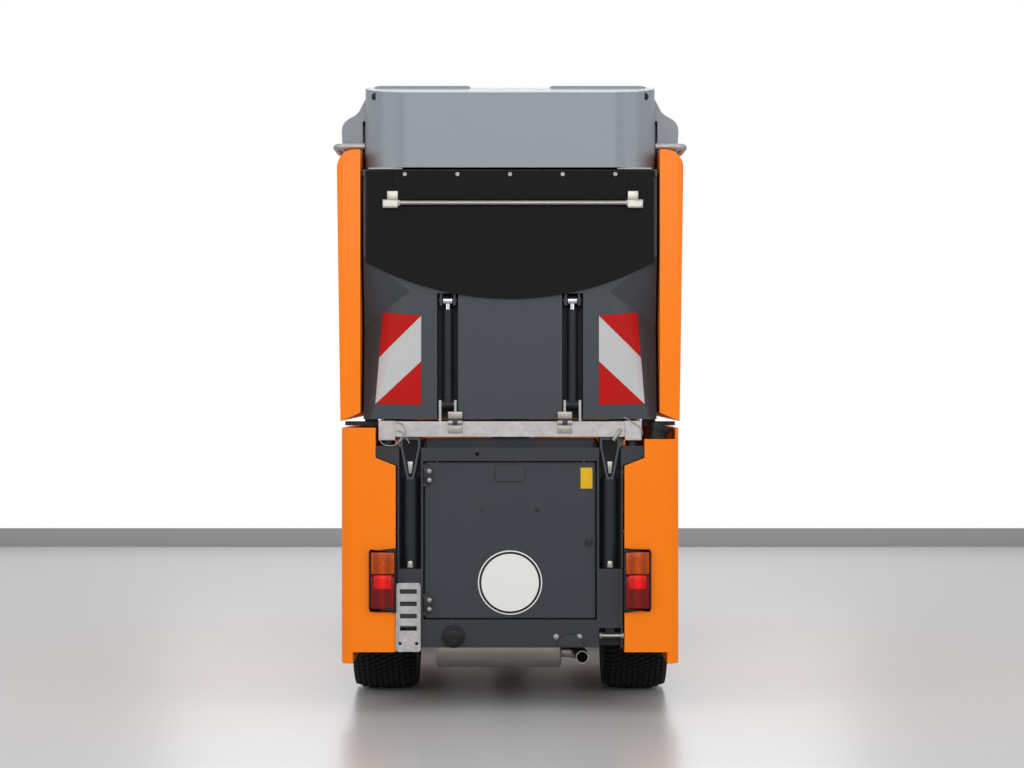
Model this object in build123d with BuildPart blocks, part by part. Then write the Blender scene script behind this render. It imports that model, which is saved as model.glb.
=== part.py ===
from build123d import *
import math
import os

os.makedirs("parts", exist_ok=True)

# A compact articulated street sweeper. Millimetres, +X to its right, +Y to its front, +Z up,
# with the origin on the ground under the middle of its length.

# Overall length, widths and heights
LENGTH = 3560
REAR_Y = -LENGTH / 2
FRONT_Y = LENGTH / 2
LOWER_HALF = 525
UPPER_HALF = 537
GAP = 0.3

# Wheels and steering
WHEELBASE = 1450
REAR_AXLE_Y = -1200
FRONT_AXLE_Y = REAR_AXLE_Y + WHEELBASE
TYRE_RADIUS = 292
TYRE_WIDTH = 209
TYRE_INNER_X = 306
RIM_RADIUS = 152
RIM_WALL = 10
RIM_DISC = 14
WHEEL_DISC_X = 436
STUB_RADIUS = 25
HUB_RADIUS = 62
PIVOT_Y = -475
ARCH_RADIUS = 334

# Chassis rails, the same on both modules
RAIL_IN = 230
RAIL_OUT = 280
RAIL_LOW = 290
RAIL_TOP = 370
BEAM_LOW = 225

# Rear module
PANEL_REAR = REAR_Y + 15
MODULE_FRONT = -628
CORNER_RADIUS = 150
FRAME_REAR = REAR_Y + 25
COLUMN_X = 310
COLUMN_WIDTH = 80
COLUMN_DEPTH = 75
COLUMN_WALL = 6
COLUMN_LOW = 201
COLUMN_TOP = 821
TOP_BEAM_LOW = 780
SKIRT_TOP = 287
SKIRT_SHEET = 20
PANEL_LOW = 188
PANEL_TOP = 883
PANEL_INNER = 355
PANEL_SKIN = 40
PANEL_RETURN = 60
PANEL_LIP = 38
NOTCH_INNER = 417
NOTCH_LOW = 790
NOTCH_SLANT = 25
FILLER_LEDGE = 848

# Engine door
DOOR_SHEET = 22
DOOR_GAP = 6
DOOR_HINGE_DROP = 10

# Lift frame and its linkage
TUBE_LOW = 855
TUBE_TOP = 903
TUBE_DEPTH = 48
SIDE_TUBE_X = 382
SIDE_TUBE_WIDTH = 53
SIDE_TUBE_LOW = 844
SIDE_TUBE_TOP = 906
BUFFER_RADIUS = 15.5
LIFT_BARREL_RADIUS = 26.5
LIFT_BARREL_TOP = 728
LIFT_BARREL_LOW = 262
LIFT_ROD_RADIUS = 15
LIFT_ROD_LOW = 330
LIFT_EYE_Z = 758
CYLINDER_Y = FRAME_REAR + 35
ARM_LENGTH = 1000
ARM_REAR_Y = FRAME_REAR + 115
ARM_LOW_Z = 745
ARM_HIGH_Z = 832
ARM_HEIGHT = 40
ARM_SHEET = 20
ARM_GAP = 10
OUTER_ARM_X = 328
ARM_PIN_RADIUS = 10
SLOT_PLAY = 10

# Hopper
HINGE_Y = REAR_Y + 15
HINGE_Z = 900
HINGE_X = 170
HINGE_WIDTH = 45
KNUCKLE_RADIUS = 7
HINGE_PIN_RADIUS = 3
WALL_REAR = REAR_Y + 30
HOPPER_HALF = 456
HOPPER_LOW = 910
HOPPER_TOP = 1745
HOPPER_FRONT = -640
HOPPER_WALL = 18
MOUTH_HALF = 400
MOUTH_LOW = 1450
MOUTH_TOP = 1655
UPPER_PANEL_LOW = 904
UPPER_PANEL_INNER = 464
UPPER_PANEL_REAR = REAR_Y + 5
RECESS_X = 194
RECESS_WIDTH = 66
RECESS_DEPTH = 105
RECESS_TOP = 1301
RECESS_WALL = 10
TIP_BASE_FORWARD = 45
TIP_BASE_UP = 55
TIP_EYE_UP = 380
TIP_BARREL_RADIUS = 17
TIP_ROD_RADIUS = 10
TIP_BARREL_LENGTH = 296

# Rear cover, roof hood and flap
COVER_LOW = 1689
COVER_TOP = 1921
COVER_HALF = 457
COVER_SHEET = 10
HOOD_TOP = 1962
HOOD_REAR = REAR_Y + 150
FLAP_HINGE_Z = 1674
FLAP_SHEET = 6
FLAP_HINGE_Y = WALL_REAR - 8
FLAP_HALF = 446
FLAP_SIDE_Z = 1397
FLAP_MIDDLE_Z = 1284

# Cab
CAB_HALF = 500
CAB_ROOF_HALF = CAB_HALF - 48
CAB_REAR = -330
CAB_LOW = 400
CAB_TOP = 1868
CAB_NOSE = 895
CAB_WALL = 40
CAB_FLOOR_Z = 500
TUNNEL_HALF = 105
TUNNEL_TOP = 462
WAIST_Z = 900
ROOF_RISE = 72
GLASS_SHEET = 8
CAB_DOOR_REAR = -190
CAB_DOOR_FRONT = 612
CAB_DOOR_LOW = 655
CAB_DOOR_TOP = 1790
CAB_DOOR_GAP = 7
CAB_DOOR_FRAME = 55
CAB_HINGE_OUT = 14

# Suction system
DUCT_RADIUS = 80
DUCT_Z = 377
DUCT_WALL = 6
HOSE_Z = 640
HOSE_RADIUS = 92
MOUTH_CLEAR = 12

# Front sweeping gear
LINKAGE_Y = 930
LINKAGE_Z = 330
BRUSH_ARM_X = 200
BRUSH_ARM_Y = 1110
BRUSH_X = 322
BRUSH_RADIUS = 310
BRUSH_Y = FRONT_Y - BRUSH_RADIUS
BRUSH_CLEAR = 3
BRUSH_DISC_RADIUS = 150
BRUSH_DISC_Z = 175
TUFT_COUNT = 24

SIDES = {"left": -1, "right": 1}


def block(xs, ys, zs, mode=Mode.ADD):
    """A block between two corners, put into the part in hand."""
    middle = [(a + b) / 2 for a, b in (xs, ys, zs)]
    size = [abs(b - a) for a, b in (xs, ys, zs)]
    with Locations(Vector(*middle)):
        Box(*size, mode=mode)


def bar(start, end, radius, mode=Mode.ADD):
    """A round bar between two points, put into the part in hand."""
    start, end = Vector(*start), Vector(*end)
    along = end - start
    with Locations(Plane(origin=(start + end) * 0.5, z_dir=along).location):
        Cylinder(radius, along.length, mode=mode)


def save(part, name):
    """Name a finished piece and write it to its own file."""
    part.label = name
    export_step(part, f"parts/{name}.step")


# Rear frame: two rails, two open columns for the lift cylinders, beams, brackets and clevis
CLEVIS_PLATES = ((300, 325), (415, 440))
GUIDE_REAR = -785
GUIDE_FRONT = -618
GUIDE_SHEET = 10
INNER_ARM_X = OUTER_ARM_X - ARM_SHEET - ARM_GAP
DOOR_HALF = COLUMN_X - COLUMN_WIDTH / 2 - DOOR_GAP
DOOR_AXIS_X = -DOOR_HALF + 2
DOOR_AXIS_Y = FRAME_REAR + 2
DOOR_HINGES = (335, 735)
GUIDE_INNER_X = INNER_ARM_X - ARM_SHEET / 2 - 8 - GUIDE_SHEET
ARM_BRACKET_X = OUTER_ARM_X + ARM_SHEET / 2 + 4
LASHING_Y = -1520
LASHING_Z = 256
LASHING_RADIUS = 13
LASHING_SHEET = 12
PIVOT_PIN_RADIUS = 30
BULKHEAD_DEEP = 25
BULKHEAD_TOP = 780
GUARD_TOP = 445
GUARD_LOW = 262
GUARD_SHEET = 5
BAFFLE_SHEET = 8
JAMB_WIDTH = 16


def lashing_eye(side, y):
    """A plate with a round eye under a rail, for a shackle."""
    inner = side * (RAIL_OUT - 30)
    outer = inner + side * LASHING_SHEET
    block((inner, outer), (y - 32, y + 32), (LASHING_Z - 26, RAIL_LOW + 5))
    bar((inner - side, y, LASHING_Z), (outer + side, y, LASHING_Z), LASHING_RADIUS, Mode.SUBTRACT)


with BuildPart() as rear_frame:
    column_front = FRAME_REAR + COLUMN_DEPTH
    for side in (-1, 1):
        near = side * (COLUMN_X - COLUMN_WIDTH / 2)
        far = side * (COLUMN_X + COLUMN_WIDTH / 2)
        block((near, far), (FRAME_REAR, column_front), (COLUMN_LOW, COLUMN_TOP))
        block(
            (near + side * COLUMN_WALL, far - side * COLUMN_WALL),
            (FRAME_REAR - 1, column_front - COLUMN_WALL),
            (COLUMN_LOW - 1, COLUMN_TOP + 1),
            Mode.SUBTRACT,
        )
        # Guard over the lower half of the cylinder, and the jamb that the engine door closes on
        block(
            (near + side, far - side),
            (FRAME_REAR + 1, FRAME_REAR + 1 + GUARD_SHEET),
            (GUARD_LOW, GUARD_TOP),
        )
        jamb_y = FRAME_REAR + DOOR_HINGE_DROP + DOOR_SHEET + 6
        jamb = (near - side * JAMB_WIDTH, near + side)
        block(jamb, (jamb_y, jamb_y + BAFFLE_SHEET), (SKIRT_TOP - 5, TOP_BEAM_LOW + 5))
        block(
            (side * RAIL_IN, side * RAIL_OUT),
            (column_front - 1, MODULE_FRONT - BULKHEAD_DEEP - GAP),
            (RAIL_LOW, RAIL_TOP),
        )
        lashing_eye(side, LASHING_Y)
        # Outriggers that carry the side panels before and behind the wheel
        for y in (FRAME_REAR + 150, -735):
            block((side * RAIL_OUT, side * (LOWER_HALF - PANEL_SKIN - GAP)), (y - 20, y + 20), (310, 350))
        # Bracket with the rubber buffer under the lift frame
        with BuildSketch(Plane.XZ.offset(-FRAME_REAR - 60)):
            with BuildLine():
                Polyline(
                    (far, COLUMN_TOP + 6),
                    (side * (NOTCH_INNER - 1), COLUMN_TOP + 6),
                    (side * (NOTCH_INNER - 1), NOTCH_LOW + 2),
                    (far, NOTCH_LOW - NOTCH_SLANT + 2),
                    close=True,
                )
            make_face()
        extrude(amount=60)
        bar(
            (side * SIDE_TUBE_X, FRAME_REAR + 30, COLUMN_TOP),
            (side * SIDE_TUBE_X, FRAME_REAR + 30, SIDE_TUBE_LOW - GAP),
            BUFFER_RADIUS,
        )
        # Bracket of the outer scissor arm, and guide plate of the inner one
        block(
            (side * ARM_BRACKET_X, far),
            (column_front - 1, ARM_REAR_Y + 30),
            (ARM_LOW_Z - 50, ARM_LOW_Z + 25),
        )
        bar(
            (side * (ARM_BRACKET_X + 1), ARM_REAR_Y, ARM_LOW_Z),
            (side * (OUTER_ARM_X - ARM_SHEET / 2 - 6), ARM_REAR_Y, ARM_LOW_Z),
            ARM_PIN_RADIUS,
        )
        guide = (side * GUIDE_INNER_X, side * (GUIDE_INNER_X + GUIDE_SHEET))
        block(guide, (GUIDE_REAR, GUIDE_FRONT), (ARM_LOW_Z - 50, ARM_LOW_Z + 35))
        block(guide, (GUIDE_REAR, GUIDE_REAR + 60), (RAIL_TOP + GAP, ARM_LOW_Z))
        slot = ARM_PIN_RADIUS + SLOT_PLAY
        block(
            (guide[0] - side, guide[1] + side),
            (GUIDE_REAR + 12, GUIDE_FRONT - 8),
            (ARM_LOW_Z - slot, ARM_LOW_Z + slot),
            Mode.SUBTRACT,
        )
    # Beam over the engine door, with its hole, and the sheet below it
    inner = COLUMN_X - COLUMN_WIDTH / 2
    block((-inner, inner), (FRAME_REAR, FRAME_REAR + 30), (TOP_BEAM_LOW, COLUMN_TOP))
    bar((-102, FRAME_REAR - 1, 801), (-102, FRAME_REAR + 31, 801), 6, Mode.SUBTRACT)
    baffle_y = FRAME_REAR + 29
    block((8 - inner, inner - 8), (baffle_y, baffle_y + BAFFLE_SHEET), (TOP_BEAM_LOW + 10, TUBE_LOW - 5))
    block((-inner, inner), (FRAME_REAR, FRAME_REAR + SKIRT_SHEET), (COLUMN_LOW, SKIRT_TOP))
    # Fixed halves of the engine door's hinges, with their pins
    for z in DOOR_HINGES:
        for end in (-1, 1):
            block(
                (-inner - 1, DOOR_AXIS_X + 5),
                (DOOR_AXIS_Y - 5, DOOR_AXIS_Y + 4),
                (z + end * (25 + GAP), z + end * 33),
            )
        bar((DOOR_AXIS_X, DOOR_AXIS_Y, z - 33), (DOOR_AXIS_X, DOOR_AXIS_Y, z + 33), HINGE_PIN_RADIUS)
    # Cross members and the front bulkhead
    for y in (FRAME_REAR + 115, -1000, -700):
        block((-RAIL_IN, RAIL_IN), (y - 20, y + 20), (RAIL_LOW + 20, RAIL_TOP - 10))
    bulkhead = GUIDE_INNER_X - 6
    block((-bulkhead, bulkhead), (MODULE_FRONT - BULKHEAD_DEEP, MODULE_FRONT - 5), (RAIL_LOW, BULKHEAD_TOP))
    bar((0, MODULE_FRONT - 60, HOSE_Z), (0, MODULE_FRONT, HOSE_Z), HOSE_RADIUS + 10, Mode.SUBTRACT)
    # Clevis of the articulation, with its pin
    for low, high in CLEVIS_PLATES:
        with BuildSketch(Plane.XY.offset(low)):
            with BuildLine():
                Polyline(
                    (-130, MODULE_FRONT - 6),
                    (-55, PIVOT_Y),
                    (55, PIVOT_Y),
                    (130, MODULE_FRONT - 6),
                    close=True,
                )
            make_face()
            with Locations((0, PIVOT_Y)):
                Circle(55)
        extrude(amount=high - low)
    bar((0, PIVOT_Y, CLEVIS_PLATES[0][0] - 8), (0, PIVOT_Y, CLEVIS_PLATES[1][1] + 8), PIVOT_PIN_RADIUS)
save(rear_frame.part, "rear_frame")


# Axles: a beam under the rails with a wheel motor at each end
def axle(y):
    """One axle beam with its two wheel motors and stubs."""
    with BuildPart() as beam:
        block((-RAIL_OUT - 14, RAIL_OUT + 14), (y - 45, y + 45), (BEAM_LOW, RAIL_LOW - GAP))
        for side in (-1, 1):
            motor_start = side * (RAIL_OUT + 4)
            motor_end = side * (WHEEL_DISC_X - 1)
            bar((motor_start, y, TYRE_RADIUS), (motor_end, y, TYRE_RADIUS), HUB_RADIUS)
            bar(
                (motor_end - side, y, TYRE_RADIUS),
                (motor_end + side * (RIM_DISC + 8), y, TYRE_RADIUS),
                STUB_RADIUS,
            )
    return beam.part


save(axle(REAR_AXLE_Y), "rear_axle")
save(axle(FRONT_AXLE_Y), "front_axle")


# Wheels: a low tyre on a dished steel rim
def tyre(side, y):
    """A tyre with rounded shoulders, turned about its axle."""
    x0 = TYRE_INNER_X
    x1 = TYRE_INNER_X + TYRE_WIDTH
    bead = 22
    with BuildPart() as rubber:
        with BuildSketch(Plane.XY):
            with BuildLine():
                Polyline(
                    (x0 + bead, RIM_RADIUS),
                    (x0 + 6, RIM_RADIUS + 22),
                    (x0, RIM_RADIUS + 70),
                    (x0 + 4, TYRE_RADIUS - 34),
                    (x0 + 26, TYRE_RADIUS - 6),
                    (x0 + 60, TYRE_RADIUS),
                    (x1 - 60, TYRE_RADIUS),
                    (x1 - 26, TYRE_RADIUS - 6),
                    (x1 - 4, TYRE_RADIUS - 34),
                    (x1, RIM_RADIUS + 70),
                    (x1 - 6, RIM_RADIUS + 22),
                    (x1 - bead, RIM_RADIUS),
                    close=True,
                )
            make_face()
        revolve(axis=Axis.X)
    solid = rubber.part if side > 0 else rubber.part.mirror(Plane.YZ)
    return solid.moved(Location((0, y, TYRE_RADIUS)))


def rim(side, y):
    """A steel rim: barrel with two flanges, and a disc with a bore for the stub."""
    x0 = TYRE_INNER_X + 12
    x1 = TYRE_INNER_X + TYRE_WIDTH - 12
    outer = RIM_RADIUS - GAP
    inner = outer - RIM_WALL
    with BuildPart() as steel:
        with BuildSketch(Plane.XY):
            with BuildLine():
                Polyline(
                    (x0, inner),
                    (x0, outer),
                    (x1, outer),
                    (x1, inner),
                    (WHEEL_DISC_X + RIM_DISC + 20, inner - 12),
                    (WHEEL_DISC_X + RIM_DISC, 80),
                    (WHEEL_DISC_X + RIM_DISC, STUB_RADIUS + GAP),
                    (WHEEL_DISC_X, STUB_RADIUS + GAP),
                    (WHEEL_DISC_X, 84),
                    (WHEEL_DISC_X + 16, inner - 14),
                    (WHEEL_DISC_X - 6, inner),
                    close=True,
                )
            make_face()
        revolve(axis=Axis.X)
    solid = steel.part if side > 0 else steel.part.mirror(Plane.YZ)
    return solid.moved(Location((0, y, TYRE_RADIUS)))


for place, y in (("rear", REAR_AXLE_Y), ("front", FRONT_AXLE_Y)):
    for name, side in SIDES.items():
        save(tyre(side, y), f"tyre_{place}_{name}")
        save(rim(side, y), f"rim_{place}_{name}")

# Engine: one plain block on the rails
with BuildPart() as engine_block:
    block((-240, 240), (FRAME_REAR + 140, -1080), (RAIL_TOP + GAP, 700))
    fillet(engine_block.edges().filter_by(Axis.Z), 30)
save(engine_block.part, "engine_block")


# Lower side panels: a hollow moulding round the wheel, with a deep rear face
def lower_panel(side):
    """A lower side panel with wheel arch, notch for the lift frame and skirt lip."""
    with BuildPart() as panel:
        with BuildSketch(Plane.XY.offset(PANEL_LIP * 4)) as plan:
            with BuildLine():
                Polyline(
                    (PANEL_INNER, PANEL_REAR),
                    (LOWER_HALF, PANEL_REAR),
                    (LOWER_HALF, MODULE_FRONT),
                    (PANEL_INNER, MODULE_FRONT),
                    close=True,
                )
            make_face()
            rear_corner = plan.vertices().sort_by(Axis.Y)[:2].sort_by(Axis.X)[-1]
            front_corner = plan.vertices().sort_by(Axis.Y)[-2:].sort_by(Axis.X)[-1]
            fillet(rear_corner, 45)
            fillet(front_corner, CORNER_RADIUS)
        extrude(amount=PANEL_TOP - PANEL_LIP * 4)
        # The hollow behind the skin, and the raised bottom inside the lip
        block(
            (PANEL_INNER - 1, LOWER_HALF - PANEL_SKIN),
            (PANEL_REAR + PANEL_RETURN, MODULE_FRONT - 60),
            (0, PANEL_TOP + 1),
            Mode.SUBTRACT,
        )
        block(
            (PANEL_INNER - 1, LOWER_HALF - 37),
            (PANEL_REAR - 1, MODULE_FRONT + 1),
            (0, PANEL_LOW),
            Mode.SUBTRACT,
        )
        bar(
            (PANEL_INNER - 1, REAR_AXLE_Y, TYRE_RADIUS),
            (LOWER_HALF + 1, REAR_AXLE_Y, TYRE_RADIUS),
            ARCH_RADIUS,
            Mode.SUBTRACT,
        )
        # Notch for the side tube of the lift frame and the bracket under it
        with BuildSketch(Plane.XZ.offset(-PANEL_REAR + 1)):
            with BuildLine():
                Polyline(
                    (PANEL_INNER - 1, NOTCH_LOW - NOTCH_SLANT),
                    (NOTCH_INNER, NOTCH_LOW),
                    (NOTCH_INNER, PANEL_TOP + 1),
                    (PANEL_INNER - 1, PANEL_TOP + 1),
                    close=True,
                )
            make_face()
        extrude(amount=-(MODULE_FRONT - PANEL_REAR + 2), mode=Mode.SUBTRACT)
        if side > 0:
            block(
                (NOTCH_INNER - 1, LOWER_HALF - 12),
                (PANEL_REAR - 1, PANEL_REAR + 165),
                (FILLER_LEDGE, PANEL_TOP + 1),
                Mode.SUBTRACT,
            )
    return panel.part if side > 0 else panel.part.mirror(Plane.YZ)


for name, side in SIDES.items():
    save(lower_panel(side), f"lower_panel_{name}")

# Fuel filler: a tilted neck with a screw cap, on the ledge of the right panel
FILLER_X = 458
FILLER_Y = PANEL_REAR + 40
with BuildPart() as fuel_filler:
    foot = Vector(FILLER_X, FILLER_Y, FILLER_LEDGE + GAP + 9)
    lean = Vector(0.35, 0, 1).normalized()
    with Locations(Vector(FILLER_X, FILLER_Y, FILLER_LEDGE + GAP + 3)):
        Cylinder(33, 6)
    bar(foot - lean * 6, foot + lean * 20, 28)
    bar(foot + lean * 20, foot + lean * 38, 34)
    block((400, 540), (FILLER_Y - 40, FILLER_Y + 40), (FILLER_LEDGE - 60, FILLER_LEDGE + GAP), Mode.SUBTRACT)
save(fuel_filler.part, "fuel_filler")

# Rear lamps: a housing with three stacked lenses on each rear face
LAMP_X = 396
LAMP_WIDTH = 80
LAMP_LOW = 314
LAMP_TOP = 508
LAMP_PARTS = (
    # inset from the sides, height over the panel, low end, high end
    (0, 6, LAMP_LOW, LAMP_TOP),
    (9, 13, 322, 384),
    (9, 13, 427, 500),
    (12, 14, 386, 425),
)
with BuildPart() as rear_lamps:
    for side in (-1, 1):
        for inset, proud, low, high in LAMP_PARTS:
            with BuildSketch(Plane.XZ.offset(-PANEL_REAR + GAP)):
                with Locations((side * LAMP_X, (low + high) / 2)):
                    RectangleRounded(LAMP_WIDTH - 2 * inset, high - low, 7)
            extrude(amount=proud)
save(rear_lamps.part, "rear_lamps")

# Silencer across the rear, with its hangers and tailpipe
MUFFLER_Y = FRAME_REAR + 115
MUFFLER_Z = 200
MUFFLER_RADIUS = 74
with BuildPart() as muffler:
    bar((-233, MUFFLER_Y, MUFFLER_Z), (161, MUFFLER_Y, MUFFLER_Z), MUFFLER_RADIUS)
    fillet(muffler.edges().filter_by(GeomType.CIRCLE), 12)
    for x in (-190, 120):
        block((x, x + 8), (MUFFLER_Y - 15, MUFFLER_Y + 15), (MUFFLER_Z, RAIL_LOW + 20 - GAP))
    with BuildLine():
        FilletPolyline((140, MUFFLER_Y, 180), (225, MUFFLER_Y, 172), (225, FRAME_REAR + 25, 168), radius=38)
    with BuildSketch(Plane(origin=(140, MUFFLER_Y, 180), z_dir=(85, 0, -8))):
        Circle(20)
    sweep()
    bar((225, FRAME_REAR + 24, 168), (225, FRAME_REAR + 70, 168), 17, Mode.SUBTRACT)
save(muffler.part, "muffler")

# Galvanised plate with slots, hung on the left column
PLATE_X = -315.5
PLATE_WIDTH = 77
PLATE_LOW = 188
PLATE_TOP = 402
with BuildPart() as slotted_plate:
    with BuildSketch(Plane.XZ.offset(-FRAME_REAR + GAP)):
        with Locations((PLATE_X, (PLATE_LOW + PLATE_TOP) / 2)):
            RectangleRounded(PLATE_WIDTH, PLATE_TOP - PLATE_LOW, 10)
    extrude(amount=14)
    with BuildSketch(Plane.XZ.offset(-FRAME_REAR + GAP + 4)):
        with Locations((PLATE_X, (PLATE_LOW + PLATE_TOP) / 2)):
            Rectangle(PLATE_WIDTH - 8, PLATE_TOP - PLATE_LOW + 2)
    extrude(amount=11, mode=Mode.SUBTRACT)
    with BuildSketch(Plane.XZ.offset(-FRAME_REAR)):
        with GridLocations(1, 38, 1, 4):
            with Locations((PLATE_X, 318)):
                Rectangle(52, 14)
        with Locations((PLATE_X - 26, 214), (PLATE_X + 26, 214)):
            Circle(5)
    extrude(amount=20, mode=Mode.SUBTRACT)
save(slotted_plate.part, "slotted_plate")

# Barrels of the lift cylinders, pinned in the columns
with BuildPart() as lift_barrels:
    for side in (-1, 1):
        x = side * COLUMN_X
        bar((x, CYLINDER_Y, LIFT_BARREL_LOW), (x, CYLINDER_Y, LIFT_BARREL_TOP), LIFT_BARREL_RADIUS)
        bar(
            (x, CYLINDER_Y, LIFT_ROD_LOW - 15),
            (x, CYLINDER_Y, LIFT_BARREL_TOP + 1),
            LIFT_ROD_RADIUS + 0.5,
            Mode.SUBTRACT,
        )
        block((x - 14, x + 14), (CYLINDER_Y - 18, CYLINDER_Y + 18), (226, LIFT_BARREL_LOW + 1))
        reach = COLUMN_WIDTH / 2 - COLUMN_WALL - GAP
        bar((x - reach, CYLINDER_Y, 241), (x + reach, CYLINDER_Y, 241), 8.5)
        block((x - 9, x + 9), (CYLINDER_Y - 34, CYLINDER_Y - 20), (449, 467))
save(lift_barrels.part, "lift_barrels")

# Engine door: a folded sheet with a pressed rim, hung on two hinges at its left
DOOR_LOW = SKIRT_TOP + 5
DOOR_TOP = TOP_BEAM_LOW - 5
DOOR_FACE = FRAME_REAR + DOOR_HINGE_DROP
with BuildPart() as engine_door:
    with BuildSketch(Plane.XZ.offset(-DOOR_FACE)):
        with Locations((0, (DOOR_LOW + DOOR_TOP) / 2)):
            RectangleRounded(2 * DOOR_HALF, DOOR_TOP - DOOR_LOW, 6)
    extrude(amount=-DOOR_SHEET)
    block(
        (-DOOR_HALF + 12, DOOR_HALF - 12),
        (DOOR_FACE + 8, DOOR_FACE + DOOR_SHEET + 1),
        (DOOR_LOW + 12, DOOR_TOP - 12),
        Mode.SUBTRACT,
    )
    for z in DOOR_HINGES:
        block((DOOR_AXIS_X - 6, DOOR_AXIS_X + 17), (DOOR_AXIS_Y - 4.4, DOOR_FACE + 1), (z - 25, z + 25))
        hinge_line = (DOOR_AXIS_X, DOOR_AXIS_Y)
        bar((*hinge_line, z - 26), (*hinge_line, z + 26), HINGE_PIN_RADIUS + 0.4, Mode.SUBTRACT)
    block((-43, 42), (DOOR_FACE - 9, DOOR_FACE + 1), (718, 762))
save(engine_door.part, "engine_door")

# Lift frame: a cross tube and two side tubes, with the brackets of both linkages
SIDE_TUBE_IN = SIDE_TUBE_X - SIDE_TUBE_WIDTH / 2
SIDE_TUBE_OUT = SIDE_TUBE_X + SIDE_TUBE_WIDTH / 2
TUBE_REAR = FRAME_REAR - 2
TIP_BASE = (HINGE_Y + TIP_BASE_FORWARD, HINGE_Z + TIP_BASE_UP)
with BuildPart() as lift_frame:
    block((-SIDE_TUBE_IN - 1, SIDE_TUBE_IN + 1), (TUBE_REAR, TUBE_REAR + TUBE_DEPTH), (TUBE_LOW, TUBE_TOP))
    block((-SIDE_TUBE_IN - 1, SIDE_TUBE_IN + 1), (-970, -930), (TUBE_LOW, TUBE_TOP - 8))
    for side in (-1, 1):
        tube = (side * SIDE_TUBE_IN, side * SIDE_TUBE_OUT)
        block(tube, (TUBE_REAR, MODULE_FRONT - 14), (SIDE_TUBE_LOW, SIDE_TUBE_TOP - 1))
        # Lug of the inner scissor arm, and guide plate of the outer one
        inner_face = side * (INNER_ARM_X + ARM_SHEET / 2)
        block(
            (inner_face + side * GAP, tube[0] + side),
            (ARM_REAR_Y - 25, ARM_REAR_Y + 25),
            (ARM_HIGH_Z - 20, ARM_HIGH_Z + 20),
        )
        bar(
            (inner_face + side, ARM_REAR_Y, ARM_HIGH_Z),
            (inner_face - side * (ARM_SHEET + 6), ARM_REAR_Y, ARM_HIGH_Z),
            ARM_PIN_RADIUS,
        )
        plate = (side * (ARM_BRACKET_X), tube[0] + side)
        block(plate, (GUIDE_REAR, GUIDE_FRONT), (ARM_HIGH_Z - 32, ARM_HIGH_Z + 44))
        slot = ARM_PIN_RADIUS + SLOT_PLAY
        block(
            (plate[0] - side, plate[1] - side),
            (GUIDE_REAR + 12, GUIDE_FRONT - 8),
            (ARM_HIGH_Z - slot, ARM_HIGH_Z + slot),
            Mode.SUBTRACT,
        )
        # Tapered bracket that takes the eye of the lift rod
        x = side * COLUMN_X
        with BuildSketch(Plane.XZ.offset(-CYLINDER_Y - 20)):
            with BuildLine():
                Polyline(
                    (x - 30, TUBE_LOW + 1),
                    (x + 30, TUBE_LOW + 1),
                    (x + 14, LIFT_BARREL_TOP + 8),
                    (x - 14, LIFT_BARREL_TOP + 8),
                    close=True,
                )
            make_face()
        extrude(amount=40)
        block(
            (x - 17, x + 17),
            (CYLINDER_Y - 21, CYLINDER_Y + 21),
            (LIFT_BARREL_TOP, LIFT_EYE_Z + 24),
            Mode.SUBTRACT,
        )
        # Bracket and cheeks of the tip cylinder's base
        x = side * RECESS_X
        for cheek in (-1, 1):
            edge = x + cheek * 20
            block(
                (edge, edge + cheek * 8),
                (TIP_BASE[0] - 14, TIP_BASE[0] + 14),
                (TUBE_TOP - 1, TIP_BASE[1] + 14),
            )
        bar((x - 27, TIP_BASE[0], TIP_BASE[1]), (x + 27, TIP_BASE[0], TIP_BASE[1]), 8)
        # Lower half of the tip hinge, with its pin
        x = side * HINGE_X
        block(
            (x - HINGE_WIDTH / 2, x + HINGE_WIDTH / 2),
            (TUBE_REAR - 4, TUBE_REAR + 1),
            (HINGE_Z - 33, HINGE_Z - 4),
        )
        block((x - 9, x + 9), (TUBE_REAR - 5, TUBE_REAR), (HINGE_Z - 9, HINGE_Z - 3), Mode.SUBTRACT)
        for end in (-1, 1):
            bar(
                (x + end * 8, HINGE_Y, HINGE_Z),
                (x + end * HINGE_WIDTH / 2, HINGE_Y, HINGE_Z),
                KNUCKLE_RADIUS,
            )
        bar((x - 20, HINGE_Y, HINGE_Z), (x + 20, HINGE_Y, HINGE_Z), HINGE_PIN_RADIUS)
save(lift_frame.part, "lift_frame")

# Rods of the lift cylinders, with their eyes in the tapered brackets
with BuildPart() as lift_rods:
    for side in (-1, 1):
        x = side * COLUMN_X
        bar((x, CYLINDER_Y, LIFT_ROD_LOW), (x, CYLINDER_Y, LIFT_EYE_Z), LIFT_ROD_RADIUS)
        bar((x - 14, CYLINDER_Y, LIFT_EYE_Z), (x + 14, CYLINDER_Y, LIFT_EYE_Z), 22)
        block((x - 11, x + 11), (CYLINDER_Y - 12, CYLINDER_Y + 12), (LIFT_EYE_Z + 10, LIFT_EYE_Z + 24 - GAP))
save(lift_rods.part, "lift_rods")


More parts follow.
